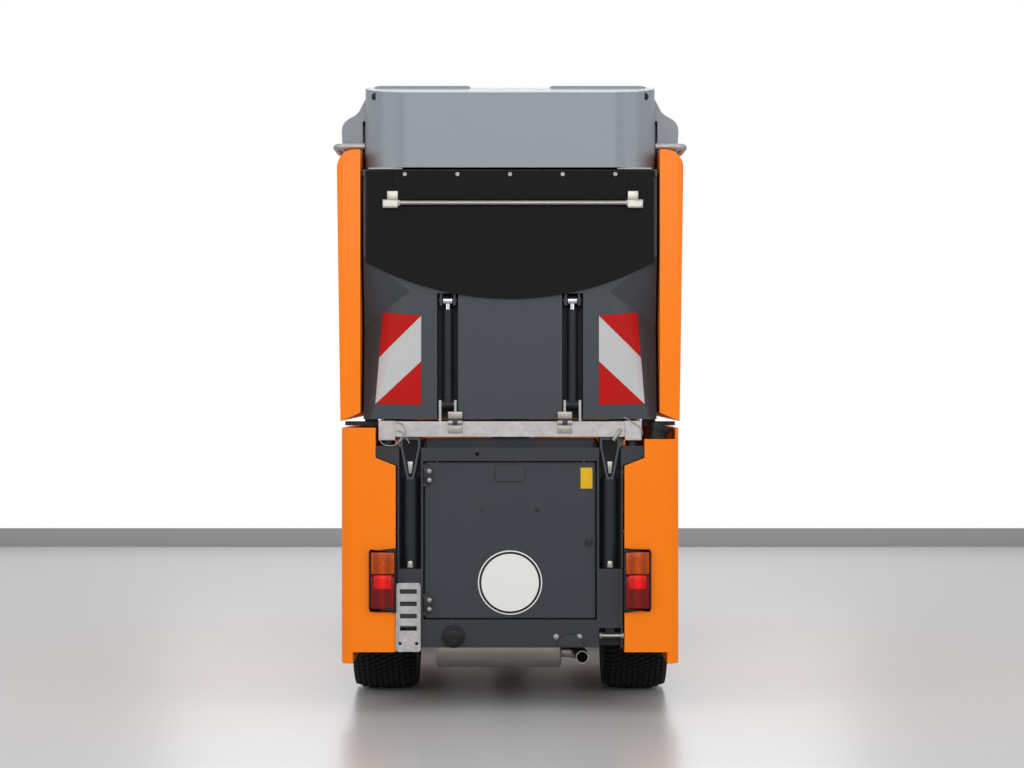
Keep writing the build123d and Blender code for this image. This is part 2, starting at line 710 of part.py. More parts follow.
# Scissor arms: two pairs, crossed, each with a pin in a guide at its front end
def scissor_arm(x, rear_z, front_z, pin_side):
    """A pair of arms between two heights, with the front pins on the given side."""
    run = math.sqrt(ARM_LENGTH**2 - (front_z - rear_z) ** 2)
    front_y = ARM_REAR_Y + run
    with BuildPart() as pair:
        for side in (-1, 1):
            middle_y = (ARM_REAR_Y + front_y) / 2
            middle_z = (rear_z + front_z) / 2
            lay = Plane(
                origin=(side * x, middle_y, middle_z),
                x_dir=(0, run, front_z - rear_z),
                z_dir=(1, 0, 0),
            )
            with BuildSketch(lay):
                SlotCenterToCenter(ARM_LENGTH, ARM_HEIGHT)
                with Locations((-ARM_LENGTH / 2, 0)):
                    Circle(ARM_PIN_RADIUS + GAP, mode=Mode.SUBTRACT)
                if pin_side < 0:
                    Circle(ARM_PIN_RADIUS + 6, mode=Mode.SUBTRACT)
            extrude(amount=ARM_SHEET / 2, both=True)
            face = side * (x + pin_side * ARM_SHEET / 2)
            bar((face, front_y, front_z), (face + side * pin_side * 16, front_y, front_z), ARM_PIN_RADIUS)
            if pin_side > 0:
                start = side * (x - ARM_SHEET / 2)
                bar(
                    (start, middle_y, middle_z),
                    (start - side * (ARM_GAP + ARM_SHEET + 4), middle_y, middle_z),
                    ARM_PIN_RADIUS,
                )
    return pair.part


save(scissor_arm(OUTER_ARM_X, ARM_LOW_Z, ARM_HIGH_Z, 1), "scissor_outer")
save(scissor_arm(INNER_ARM_X, ARM_HIGH_Z, ARM_LOW_Z, -1), "scissor_inner")



# Hopper: a steel box with faceted rear corners, two channels for the tip cylinders and a mouth
FACET_FOLD = ((-415, 963), (-308, 1306))
FACET_CORNER = (-456, 1202)
FACET_DEPTH = 60
FACET_END_Z = 1420
DUCT_Y = -780
LEDGE_Z = 1685
EAR_INNER = FLAP_HALF + 3
APRON_IN = SIDE_TUBE_OUT + 6
APRON_OUT = 518
APRON_Y = WALL_REAR + 75
APRON_LOW = PANEL_TOP + 6


def rear_facet(side, grow):
    """The wedge cut off a rear corner of the hopper, grown inwards by a wall."""
    fold_low = Vector(FACET_FOLD[0][0], WALL_REAR, FACET_FOLD[0][1])
    fold_top = Vector(FACET_FOLD[1][0], WALL_REAR, FACET_FOLD[1][1])
    corner = Vector(FACET_CORNER[0], WALL_REAR + FACET_DEPTH, FACET_CORNER[1])
    end = Vector(FACET_CORNER[0], WALL_REAR, FACET_END_Z)
    lower_normal = (fold_top - fold_low).cross(corner - fold_low).normalized()
    upper_normal = (corner - fold_top).cross(end - fold_top).normalized()
    with BuildPart() as wedge:
        block(
            (-HOPPER_HALF - 30, -200),
            (WALL_REAR - 40, WALL_REAR + 200),
            (HOPPER_LOW - 40, FACET_END_Z + 40),
        )
        for point, normal in ((fold_low, lower_normal), (fold_top, upper_normal)):
            outwards = normal if normal.Y < 0 else normal * -1
            split(bisect_by=Plane(origin=point - outwards * grow, z_dir=outwards), keep=Keep.TOP)
    return wedge.part if side < 0 else wedge.part.mirror(Plane.YZ)


def hopper_box(inset):
    """The hopper's closed box, inset all round by a wall."""
    with BuildPart() as closed:
        half = HOPPER_HALF - inset
        with BuildSketch(Plane.XY.offset(HOPPER_LOW + inset)) as plan:
            with BuildLine():
                Polyline(
                    (-half, WALL_REAR + inset),
                    (half, WALL_REAR + inset),
                    (half, HOPPER_FRONT - inset),
                    (-half, HOPPER_FRONT - inset),
                    close=True,
                )
            make_face()
            fillet(plan.vertices().sort_by(Axis.Y)[-2:], CORNER_RADIUS - inset)
        extrude(amount=HOPPER_TOP - HOPPER_LOW - 2 * inset)
    return closed.part


with BuildPart() as hopper_room:
    add(hopper_box(HOPPER_WALL))
    for side in (-1, 1):
        add(rear_facet(side, HOPPER_WALL), mode=Mode.SUBTRACT)
        half = RECESS_WIDTH / 2 + RECESS_WALL
        block(
            (side * RECESS_X - half, side * RECESS_X + half),
            (WALL_REAR, WALL_REAR + RECESS_DEPTH + RECESS_WALL),
            (HOPPER_LOW, RECESS_TOP + RECESS_WALL),
            Mode.SUBTRACT,
        )

with BuildPart() as hopper_shell:
    add(hopper_box(0))
    for side in (-1, 1):
        add(rear_facet(side, 0), mode=Mode.SUBTRACT)
    add(hopper_room.part, mode=Mode.SUBTRACT)
    # The mouth behind the flap, the open top under the rear cover, and the inlet in the floor
    block(
        (-MOUTH_HALF, MOUTH_HALF),
        (WALL_REAR - 1, WALL_REAR + HOPPER_WALL + 1),
        (MOUTH_LOW, MOUTH_TOP),
        Mode.SUBTRACT,
    )
    block(
        (-HOPPER_HALF - 1, HOPPER_HALF + 1),
        (WALL_REAR - 1, HOOD_REAR + 8),
        (LEDGE_Z, HOPPER_TOP + 1),
        Mode.SUBTRACT,
    )
    bar(
        (0, DUCT_Y, HOPPER_LOW - 1),
        (0, DUCT_Y, HOPPER_LOW + HOPPER_WALL + 1),
        DUCT_RADIUS - DUCT_WALL,
        Mode.SUBTRACT,
    )
    for side in (-1, 1):
        x = side * RECESS_X
        half = RECESS_WIDTH / 2
        block(
            (x - half, x + half),
            (WALL_REAR - 1, WALL_REAR + RECESS_DEPTH),
            (HOPPER_LOW - 1, RECESS_TOP),
            Mode.SUBTRACT,
        )
        # Lugs each side of the tip cylinder's upper eye
        for cheek in (-1, 1):
            edge = x + cheek * 17
            block(
                (edge, edge + cheek * 8),
                (HINGE_Y + TIP_BASE_FORWARD - 16, WALL_REAR + RECESS_DEPTH + 1),
                (HINGE_Z + TIP_EYE_UP - 16, RECESS_TOP + 1),
            )
            bar(
                (edge + cheek * 7, HINGE_Y + TIP_BASE_FORWARD, HINGE_Z + TIP_EYE_UP),
                (edge + cheek * 12, HINGE_Y + TIP_BASE_FORWARD, HINGE_Z + TIP_EYE_UP),
                8,
            )
        # Upper leaf and middle knuckle of the tip hinge
        x = side * HINGE_X
        block(
            (x - HINGE_WIDTH / 2, x + HINGE_WIDTH / 2),
            (WALL_REAR - 8, WALL_REAR),
            (HOPPER_LOW, HINGE_Z + 33),
        )
        block((x - 7.5, x + 7.5), (HINGE_Y + 2, WALL_REAR + 1), (TUBE_TOP + 2, HOPPER_LOW + 2))
        bar((x - 7.5, HINGE_Y, HINGE_Z), (x + 7.5, HINGE_Y, HINGE_Z), KNUCKLE_RADIUS)
        bar((x - 8, HINGE_Y, HINGE_Z), (x + 8, HINGE_Y, HINGE_Z), HINGE_PIN_RADIUS + 0.4, Mode.SUBTRACT)
        # Apron that closes the gap over the lower side panel
        block((side * APRON_IN, side * APRON_OUT), (APRON_Y, APRON_Y + 20), (APRON_LOW, UPPER_PANEL_LOW - 2))
        block((side * APRON_IN, side * HOPPER_HALF), (APRON_Y, APRON_Y + 20), (APRON_LOW, HOPPER_LOW + 1))
        # Rest pad on the side tube, and ear of the flap
        block(
            (side * (SIDE_TUBE_X - 20), side * (SIDE_TUBE_X + 20)),
            (-790, -710),
            (SIDE_TUBE_TOP - 1 + GAP, HOPPER_LOW + 1),
        )
        block(
            (side * EAR_INNER, side * HOPPER_HALF),
            (FLAP_HINGE_Y - 8, WALL_REAR + 1),
            (FLAP_HINGE_Z - 10, FLAP_HINGE_Z + 10),
        )
        bar(
            (side * (EAR_INNER - 1), FLAP_HINGE_Y, FLAP_HINGE_Z),
            (side * (HOPPER_HALF + 1), FLAP_HINGE_Y, FLAP_HINGE_Z),
            HINGE_PIN_RADIUS + 0.4,
            Mode.SUBTRACT,
        )
save(hopper_shell.part, "hopper_shell")


# Upper side panels: orange mouldings on the hopper's sides
def upper_panel(side):
    """An upper side panel with a rounded top, held off the hopper by spacers."""
    with BuildPart() as panel:
        with BuildSketch(Plane.XZ.offset(-UPPER_PANEL_REAR)) as section:
            with BuildLine():
                Polyline(
                    (UPPER_PANEL_INNER, UPPER_PANEL_LOW + 26),
                    (LOWER_HALF, UPPER_PANEL_LOW),
                    (LOWER_HALF + 6, 1300),
                    (UPPER_HALF, HOPPER_TOP - 60),
                    (UPPER_HALF, HOPPER_TOP),
                    (UPPER_PANEL_INNER, HOPPER_TOP),
                    close=True,
                )
            make_face()
            outer_top = section.vertices().sort_by(Axis.Y)[-2:].sort_by(Axis.X)[-1]
            fillet(outer_top, 57)
        extrude(amount=-(HOPPER_FRONT - UPPER_PANEL_REAR))
        with BuildSketch(Plane.XY.offset(UPPER_PANEL_LOW - 1)) as plan:
            with BuildLine():
                Polyline(
                    (UPPER_PANEL_INNER - 1, UPPER_PANEL_REAR),
                    (UPPER_HALF + 1, UPPER_PANEL_REAR),
                    (UPPER_HALF + 1, HOPPER_FRONT),
                    (UPPER_PANEL_INNER - 1, HOPPER_FRONT),
                    close=True,
                )
            make_face()
            fillet(plan.vertices().sort_by(Axis.Y)[:2].sort_by(Axis.X)[-1], 20)
            fillet(plan.vertices().sort_by(Axis.Y)[-2:].sort_by(Axis.X)[-1], UPPER_HALF - UPPER_PANEL_INNER)
        extrude(amount=HOPPER_TOP - UPPER_PANEL_LOW + 2, mode=Mode.INTERSECT)
        for y in (-1560, -860):
            for z in (1050, 1560):
                block((HOPPER_HALF + GAP, UPPER_PANEL_INNER + 1), (y - 25, y + 25), (z - 25, z + 25))
    return panel.part if side > 0 else panel.part.mirror(Plane.YZ)


for name, side in SIDES.items():
    save(upper_panel(side), f"upper_panel_{name}")

# Roof hood: a shouldered moulding over the hopper, with a shallow trough along its middle
HOOD_LOW = 1752
HOOD_FRONT = -655
HOOD_SHOULDER = (
    (529, HOOD_LOW),
    (533, 1815),
    (531, 1832),
    (524, 1846),
    (511, 1857),
    (489, 1869),
    (478, 1880),
    (460, 1915),
    (446, 1940),
    (438, 1952),
    (425, 1960),
    (412, HOOD_TOP),
)
with BuildPart() as roof_hood:
    with BuildSketch(Plane.XZ.offset(-HOOD_REAR)):
        for side in (-1, 1):
            with BuildLine():
                Polyline(
                    (0, HOPPER_TOP + GAP),
                    (side * 458, HOPPER_TOP + GAP),
                    (side * 458, HOOD_LOW),
                    *[(side * x, z) for x, z in HOOD_SHOULDER],
                    (side * 132, HOOD_TOP),
                    (side * 120, HOOD_TOP - 8),
                    (0, HOOD_TOP - 8),
                    close=True,
                )
            make_face()
    extrude(amount=-(HOOD_FRONT - HOOD_REAR))
    with BuildSketch(Plane.XY.offset(HOPPER_TOP - 1)) as plan:
        with BuildLine():
            Polyline((-540, HOOD_REAR), (540, HOOD_REAR), (540, HOOD_FRONT), (-540, HOOD_FRONT), close=True)
        make_face()
        fillet(plan.vertices().sort_by(Axis.Y)[-2:], CORNER_RADIUS)
    extrude(amount=300, mode=Mode.INTERSECT)
    for side in (-1, 1):
        block(
            (side * 440, side * 466),
            (HOOD_REAR - 1, HOOD_REAR + 60),
            (HOPPER_TOP - 1, 1850),
            Mode.SUBTRACT,
        )
save(roof_hood.part, "roof_hood")

# Rear cover: a hollow moulding with large corners, open below, its top sloping to the hood
COVER_CORNER = 145


def cover_form(inset):
    """The cover's outside, or its inside when inset by its wall."""
    front = HOOD_REAR - GAP
    half = COVER_HALF - inset
    with BuildPart() as form:
        with BuildSketch(Plane.YZ):
            with BuildLine():
                Polyline(
                    (REAR_Y + inset, COVER_LOW),
                    (REAR_Y + inset, COVER_TOP - inset),
                    (front, HOOD_TOP - 6 - inset),
                    (front, COVER_LOW),
                    close=True,
                )
            make_face()
        extrude(amount=COVER_HALF, both=True)
        with BuildSketch(Plane.XY.offset(COVER_LOW)) as plan:
            with BuildLine():
                Polyline(
                    (-half, REAR_Y + inset),
                    (half, REAR_Y + inset),
                    (half, front),
                    (-half, front),
                    close=True,
                )
            make_face()
            fillet(plan.vertices().sort_by(Axis.Y)[:2], COVER_CORNER - inset)
        extrude(amount=HOOD_TOP - COVER_LOW, mode=Mode.INTERSECT)
    return form.part


with BuildPart() as rear_cover:
    add(cover_form(0))
    add(cover_form(COVER_SHEET), mode=Mode.SUBTRACT)
save(rear_cover.part, "rear_cover")

# Grab loops: bent tubes between the rear cover and the hood
LOOP_Z = 1768
LOOP_RADIUS = 10
LOOP_X = 551
LOOP_REAR = HOOD_REAR - 20
LOOP_FRONT = HOOD_REAR + 180
with BuildPart() as grab_loops:
    for side in (-1, 1):
        start = (side * (COVER_HALF + GAP), LOOP_REAR, LOOP_Z)
        with BuildLine():
            FilletPolyline(
                start,
                (side * LOOP_X, LOOP_REAR, LOOP_Z),
                (side * LOOP_X, LOOP_FRONT, LOOP_Z),
                (side * (HOOD_SHOULDER[1][0] - 1), LOOP_FRONT, LOOP_Z),
                radius=(40, 18),
            )
        with BuildSketch(Plane(origin=start, z_dir=(side, 0, 0))):
            Circle(LOOP_RADIUS)
        sweep()
save(grab_loops.part, "grab_loops")

# Discharge flap: a rubber sheet hung over the mouth, with a stiffening rod in two clips
FLAP_REAR = FLAP_HINGE_Y - FLAP_SHEET / 2
STRIP_HALF = 361
with BuildPart() as discharge_flap:
    with BuildSketch(Plane.XZ.offset(-FLAP_REAR)):
        with BuildLine():
            top = FLAP_HINGE_Z + 6
            Polyline((-FLAP_HALF, FLAP_SIDE_Z), (-FLAP_HALF, top), (FLAP_HALF, top), (FLAP_HALF, FLAP_SIDE_Z))
            ThreePointArc((-FLAP_HALF, FLAP_SIDE_Z), (0, FLAP_MIDDLE_Z), (FLAP_HALF, FLAP_SIDE_Z))
        make_face()
    extrude(amount=-FLAP_SHEET)
    block((-STRIP_HALF, STRIP_HALF), (FLAP_REAR - 5, FLAP_REAR + 1), (1591, FLAP_HINGE_Z + 5))
    for side in (-1, 1):
        bar(
            (side * (FLAP_HALF - 8), FLAP_HINGE_Y, FLAP_HINGE_Z),
            (side * (HOPPER_HALF - 1), FLAP_HINGE_Y, FLAP_HINGE_Z),
            HINGE_PIN_RADIUS,
        )
save(discharge_flap.part, "discharge_flap")

ROD_Z = 1580
ROD_RADIUS = 7.5
ROD_Y = REAR_Y + ROD_RADIUS + 0.5
with BuildPart() as flap_rod:
    bar((-350, ROD_Y, ROD_Z), (370, ROD_Y, ROD_Z), ROD_RADIUS)
    for low, high in ((-394, -341), (360, 403)):
        block((low, high), (ROD_Y - 5, FLAP_REAR - GAP), (ROD_Z - 8, ROD_Z + 8))
save(flap_rod.part, "flap_rod")

# Tip cylinders: barrels pinned on the lift frame, rods to the lugs in the channels
TIP_EYE_Z = HINGE_Z + TIP_EYE_UP
with BuildPart() as tip_barrels:
    for side in (-1, 1):
        x = side * RECESS_X
        bar((x - 18, TIP_BASE[0], TIP_BASE[1]), (x + 18, TIP_BASE[0], TIP_BASE[1]), 15)
        bar(
            (x, TIP_BASE[0], TIP_BASE[1] + 5),
            (x, TIP_BASE[0], TIP_BASE[1] + TIP_BARREL_LENGTH),
            TIP_BARREL_RADIUS,
        )
        bar((x - 19, TIP_BASE[0], TIP_BASE[1]), (x + 19, TIP_BASE[0], TIP_BASE[1]), 8.3, Mode.SUBTRACT)
        bar(
            (x, TIP_BASE[0], TIP_BASE[1] + 30),
            (x, TIP_BASE[0], TIP_BASE[1] + TIP_BARREL_LENGTH + 1),
            TIP_ROD_RADIUS + 0.5,
            Mode.SUBTRACT,
        )
save(tip_barrels.part, "tip_barrels")

with BuildPart() as tip_rods:
    for side in (-1, 1):
        x = side * RECESS_X
        bar((x, TIP_BASE[0], TIP_BASE[1] + 45), (x, TIP_BASE[0], TIP_EYE_Z), TIP_ROD_RADIUS)
        bar((x - 14, TIP_BASE[0], TIP_EYE_Z), (x + 14, TIP_BASE[0], TIP_EYE_Z), 14)
save(tip_rods.part, "tip_rods")

# Rear suction duct: an elbow from the bulkhead up to the inlet in the hopper's floor
with BuildPart() as rear_duct:
    duct_front = (0, MODULE_FRONT - 4, HOSE_Z)
    with BuildLine():
        FilletPolyline(duct_front, (0, DUCT_Y, HOSE_Z), (0, DUCT_Y, HOPPER_LOW - GAP), radius=100)
    with BuildSketch(Plane(origin=duct_front, z_dir=(0, -1, 0))):
        Circle(DUCT_RADIUS)
        Circle(DUCT_RADIUS - DUCT_WALL, mode=Mode.SUBTRACT)
    sweep()
    with Locations((0, DUCT_Y, HOPPER_LOW - GAP - 6)):
        Cylinder(DUCT_RADIUS + 16, 12)
        Cylinder(DUCT_RADIUS - DUCT_WALL, 14, mode=Mode.SUBTRACT)
    for side in (-1, 1):
        block(
            (side * 70, side * (GUIDE_INNER_X - GAP)),
            (DUCT_Y - 20, DUCT_Y + 20),
            (HOSE_Z + 80, HOSE_Z + 90),
        )
save(rear_duct.part, "rear_duct")


# Front frame: two rails, cross members, the tongue of the articulation and the cab's feet
TONGUE = (CLEVIS_PLATES[0][1] + 3, CLEVIS_PLATES[1][0] - 3)
FRONT_RAIL_END = 880
LINKAGE_PIN = 10
FRONT_LASHING_Y = 640
with BuildPart() as front_frame:
    for side in (-1, 1):
        block((side * RAIL_IN, side * RAIL_OUT), (CAB_REAR + 12, FRONT_RAIL_END), (RAIL_LOW, RAIL_TOP))
        lashing_eye(side, FRONT_LASHING_Y)
        for y in (-280, 700):
            foot = (side * (RAIL_IN + RAIL_OUT) / 2, y, RAIL_TOP - 1)
            bar(foot, (foot[0], y, CAB_LOW - GAP), 26)
        # Lugs that carry the front sweeping gear
        block(
            (side * 152, side * 172),
            (FRONT_RAIL_END - 30, LINKAGE_Y + 22),
            (LINKAGE_Z - 25, LINKAGE_Z + 25),
        )
    block((-RAIL_IN, RAIL_IN), (FRONT_RAIL_END - 30, FRONT_RAIL_END), (RAIL_LOW, RAIL_TOP))
    block((-RAIL_IN, RAIL_IN), (CAB_REAR + 12, CAB_REAR + 62), (RAIL_LOW + 10, CAB_LOW - 6))
    bar((-172, LINKAGE_Y, LINKAGE_Z), (172, LINKAGE_Y, LINKAGE_Z), LINKAGE_PIN)
    with BuildSketch(Plane.XY.offset(TONGUE[0])):
        with BuildLine():
            Polyline((-100, CAB_REAR + 13), (-50, PIVOT_Y), (50, PIVOT_Y), (100, CAB_REAR + 13), close=True)
        make_face()
        with Locations((0, PIVOT_Y)):
            Circle(50)
            Circle(PIVOT_PIN_RADIUS + 0.5, mode=Mode.SUBTRACT)
    extrude(amount=TONGUE[1] - TONGUE[0])
save(front_frame.part, "front_frame")


# Cab: one outer form, from which shell, glass and doors are all cut
CAB_SIDE = (
    (CAB_REAR, CAB_LOW),
    (CAB_REAR, CAB_TOP),
    (560, CAB_TOP),
    (850, 860),
    (CAB_NOSE, 610),
    (860, CAB_LOW),
)
WINDSCREEN_SLOPE = (560 - 850) / (CAB_TOP - 860)


def cab_form(inset):
    """The cab's closed form from its side, front and plan outlines, inset by a wall."""
    low = CAB_FLOOR_Z if inset else CAB_LOW
    with BuildPart() as form:
        with BuildSketch(Plane.YZ) as outline:
            with BuildLine():
                Polyline(*CAB_SIDE, close=True)
            make_face()
            fillet(outline.vertices().sort_by(Axis.Y)[-2:], 60)
            fillet(outline.vertices().sort_by(Axis.X)[-1], 90)
            if inset:
                offset(amount=-inset, kind=Kind.INTERSECTION, mode=Mode.REPLACE)
        extrude(amount=CAB_HALF, both=True)
        with BuildSketch(Plane.XZ):
            with BuildLine():
                Polyline(
                    (-CAB_HALF + inset, low),
                    (-CAB_HALF + inset, WAIST_Z),
                    (-CAB_ROOF_HALF + inset, CAB_TOP),
                    (CAB_ROOF_HALF - inset, CAB_TOP),
                    (CAB_HALF - inset, WAIST_Z),
                    (CAB_HALF - inset, low),
                    close=True,
                )
            make_face()
        extrude(amount=FRONT_Y, both=True, mode=Mode.INTERSECT)
        with BuildSketch(Plane.XY.offset(CAB_LOW)) as plan:
            with BuildLine():
                # The rear edge stands off the side outline's, so that no two faces meet in a sliver
                half = CAB_HALF - inset
                rear = CAB_REAR + inset - 2
                Polyline(
                    (-half, rear),
                    (half, rear),
                    (half, CAB_NOSE - inset),
                    (-half, CAB_NOSE - inset),
                    close=True,
                )
            make_face()
            fillet(plan.vertices(), CORNER_RADIUS - inset)
        extrude(amount=CAB_TOP, mode=Mode.INTERSECT)
    return form.part


def door_outline(inset):
    """The door opening seen from the side, in Y and Z, inset by a clearance."""
    slope_y = CAB_DOOR_FRONT + WINDSCREEN_SLOPE * (CAB_DOOR_TOP - 1440)
    return (
        (CAB_DOOR_REAR + inset, CAB_DOOR_LOW + inset),
        (CAB_DOOR_FRONT - inset, CAB_DOOR_LOW + inset),
        (CAB_DOOR_FRONT - inset, 1440),
        (slope_y - inset, CAB_DOOR_TOP - inset),
        (CAB_DOOR_REAR + inset, CAB_DOOR_TOP - inset),
    )


def side_prism(points, radius):
    """A prism through one side of the cab, from an outline in Y and Z."""
    with BuildPart() as prism:
        with BuildSketch(Plane.YZ.offset(CAB_ROOF_HALF - 160)) as outline:
            with BuildLine():
                Polyline(*points, close=True)
            make_face()
            fillet(outline.vertices(), radius)
        extrude(amount=CAB_HALF - CAB_ROOF_HALF + 172)
    return prism.part


def front_prism(points, y, depth, radius):
    """A prism through the front or rear of the cab, from an outline in X and Z."""
    with BuildPart() as prism:
        with BuildSketch(Plane.XZ.offset(-y)) as outline:
            with BuildLine():
                Polyline(*points, close=True)
            make_face()
            fillet(outline.vertices(), radius)
        extrude(amount=-depth)
    return prism.part


def window_points(half_low, half_top, low, top, inset):
    """A symmetrical window outline in X and Z, inset by a clearance."""
    return (
        (-half_low + inset, low + inset),
        (half_low - inset, low + inset),
        (half_top - inset, top - inset),
        (-half_top + inset, top - inset),
    )


def door_window(inset):
    """The outline of a door's window, inside the door's frame, inset by a clearance."""
    rear, front, _, top_front, _ = door_outline(CAB_DOOR_GAP + CAB_DOOR_FRAME)
    return (
        (rear[0] + inset, WAIST_Z + 40 + inset),
        (front[0] - inset, WAIST_Z + 40 + inset),
        (front[0] - inset, 1440),
        (top_front[0] - inset, top_front[1] - inset),
        (rear[0] + inset, top_front[1] - inset),
    )


CAB_HINGE_X = CAB_HALF + CAB_HINGE_OUT
CAB_HINGE_Y = CAB_DOOR_FRONT - 12
CAB_DOOR_HINGES = (720, 1130)
WINDSCREEN = (420, 392, 935, 1800)
REAR_WINDOW = (330, 318, 1180, 1740)
GLASS_DEPTH = 14
SEAT_BOX_TOP = 765
SEAT_BOX_HALF = 160
SEAT_BOX_FRONT = -25
HOSE_TUNNEL_TOP = 745

cab_outer = cab_form(0)
cab_inner = cab_form(CAB_WALL)
with BuildPart() as cab_wall:
    add(cab_outer)
    add(cab_inner, mode=Mode.SUBTRACT)
with BuildPart() as cab_pane:
    add(cab_form(GLASS_DEPTH))
    add(cab_form(GLASS_DEPTH + GLASS_SHEET), mode=Mode.SUBTRACT)

windscreen_hole = front_prism(window_points(*WINDSCREEN, 0), 420, 520, 50)
rear_hole = front_prism(window_points(*REAR_WINDOW, 0), CAB_REAR - 10, 90, 40)

with BuildPart() as cab_shell:
    add(cab_wall.part)
    # Wheel wells and the box under the seat, then the wheel arches and the tunnel below the floor
    with BuildPart(mode=Mode.PRIVATE) as wells:
        for side in (-1, 1):
            bar(
                (side * 268, FRONT_AXLE_Y, TYRE_RADIUS),
                (side * (CAB_HALF - 5), FRONT_AXLE_Y, TYRE_RADIUS),
                ARCH_RADIUS + 22,
            )
        block((-600, 600), (-400, 900), (-100, CAB_LOW + 5), Mode.SUBTRACT)
        block(
            (-SEAT_BOX_HALF, SEAT_BOX_HALF),
            (CAB_REAR + CAB_WALL - 5, SEAT_BOX_FRONT),
            (CAB_FLOOR_Z - 5, SEAT_BOX_TOP),
        )
    add(wells.part)
    for side in (-1, 1):
        bar(
            (side * 290, FRONT_AXLE_Y, TYRE_RADIUS),
            (side * (CAB_HALF + 5), FRONT_AXLE_Y, TYRE_RADIUS),
            ARCH_RADIUS,
            Mode.SUBTRACT,
        )
    block((-TUNNEL_HALF, TUNNEL_HALF), (CAB_REAR - 1, CAB_NOSE + 1), (CAB_LOW - 1, TUNNEL_TOP), Mode.SUBTRACT)
    block(
        (-TUNNEL_HALF, TUNNEL_HALF),
        (CAB_REAR - 1, SEAT_BOX_FRONT - 20),
        (CAB_LOW - 1, HOSE_TUNNEL_TOP),
        Mode.SUBTRACT,
    )
    add(windscreen_hole, mode=Mode.SUBTRACT)
    add(rear_hole, mode=Mode.SUBTRACT)
    door_hole = side_prism(door_outline(0), 30)
    add(door_hole, mode=Mode.SUBTRACT)
    add(door_hole.mirror(Plane.YZ), mode=Mode.SUBTRACT)
    # Fixed halves of the door hinges
    for side in (-1, 1):
        for z in CAB_DOOR_HINGES:
            knuckle = (side * CAB_HINGE_X, CAB_HINGE_Y)
            bar((*knuckle, z + GAP), (*knuckle, z + 22), 9)
            block(
                (side * (CAB_HINGE_X - 6), side * (CAB_HINGE_X + 4)),
                (CAB_HINGE_Y, CAB_HINGE_Y + 60),
                (z + 2, z + 20),
            )
            block(
                (side * (CAB_HALF - 45), side * (CAB_HINGE_X + 4)),
                (CAB_HINGE_Y + 26, CAB_HINGE_Y + 60),
                (z + 2, z + 20),
            )
save(cab_shell.part, "cab_shell")

with BuildPart() as cab_glass:
    add(cab_pane.part)
    with BuildPart(mode=Mode.PRIVATE) as panes:
        add(front_prism(window_points(*WINDSCREEN, GAP), 420, 520, 50 - GAP))
        add(front_prism(window_points(*REAR_WINDOW, GAP), CAB_REAR - 10, 90, 40 - GAP))
    add(panes.part, mode=Mode.INTERSECT)
save(cab_glass.part, "cab_glass")

# Doors: cut from the cab's own wall, each with a window and two hinges at its front
for name, side in SIDES.items():
    with BuildPart() as door:
        add(cab_wall.part)
        add(side_prism(door_outline(CAB_DOOR_GAP), 30 - CAB_DOOR_GAP), mode=Mode.INTERSECT)
        add(side_prism(door_window(0), 45), mode=Mode.SUBTRACT)
        for z in CAB_DOOR_HINGES:
            bar((CAB_HINGE_X, CAB_HINGE_Y, z - 22), (CAB_HINGE_X, CAB_HINGE_Y, z), 9)
            block((CAB_HALF - 30, CAB_HINGE_X), (CAB_HINGE_Y - 34, CAB_HINGE_Y + 3), (z - 20, z - 2))
    with BuildPart() as pane:
        add(cab_pane.part)
        add(side_prism(door_window(GAP), 45 - GAP), mode=Mode.INTERSECT)
    for piece, node in ((door.part, "door"), (pane.part, "door_glass")):
        save(piece if side > 0 else piece.mirror(Plane.YZ), f"{node}_{name}")

# Cab roof: a shallow moulding with drawn-in edges
with BuildPart() as cab_roof:
    with BuildSketch(Plane.XY.offset(CAB_TOP + GAP)):
        with Locations((0, (CAB_REAR + 30 + 600) / 2)):
            RectangleRounded(2 * CAB_ROOF_HALF - 20, 600 - CAB_REAR - 30, 110)
    extrude(amount=ROOF_RISE, taper=24)
save(cab_roof.part, "cab_roof")

# Beacon on its foot, on the roof
BEACON_Y = -120
with BuildPart() as beacon:
    foot = CAB_TOP + ROOF_RISE + 2 * GAP
    bar((0, BEACON_Y, foot), (0, BEACON_Y, foot + 30), 62)
    bar((0, BEACON_Y, foot + 30), (0, BEACON_Y, foot + 125), 54)
    fillet(beacon.faces().sort_by(Axis.Z)[-1].edges(), 22)
save(beacon.part, "beacon")

# Seat: a pan on the seat box, with cushions
SEAT_Y = -40
with BuildPart() as seat_pan:
    block((-225, 225), (SEAT_Y - 230, SEAT_Y + 230), (SEAT_BOX_TOP + GAP, SEAT_BOX_TOP + 26))
    fillet(seat_pan.edges().filter_by(Axis.Z), 50)
    for side in (-1, 1):
        block((side * 40, side * 70), (SEAT_Y - 228, SEAT_Y - 207), (SEAT_BOX_TOP + 5, 1130))
save(seat_pan.part, "seat_pan")

with BuildPart() as seat_cushions:
    block((-220, 220), (SEAT_Y - 150, SEAT_Y + 225), (SEAT_BOX_TOP + 26 + GAP, SEAT_BOX_TOP + 110))
    with BuildSketch(Plane(origin=(0, SEAT_Y - 205, 1116), x_dir=(1, 0, 0), z_dir=(0, 1, 0.12))):
        RectangleRounded(440, 460, 60)
        with Locations((0, -290 - GAP)):
            RectangleRounded(250, 120, 40)
    extrude(amount=75)
save(seat_cushions.part, "seat_cushions")

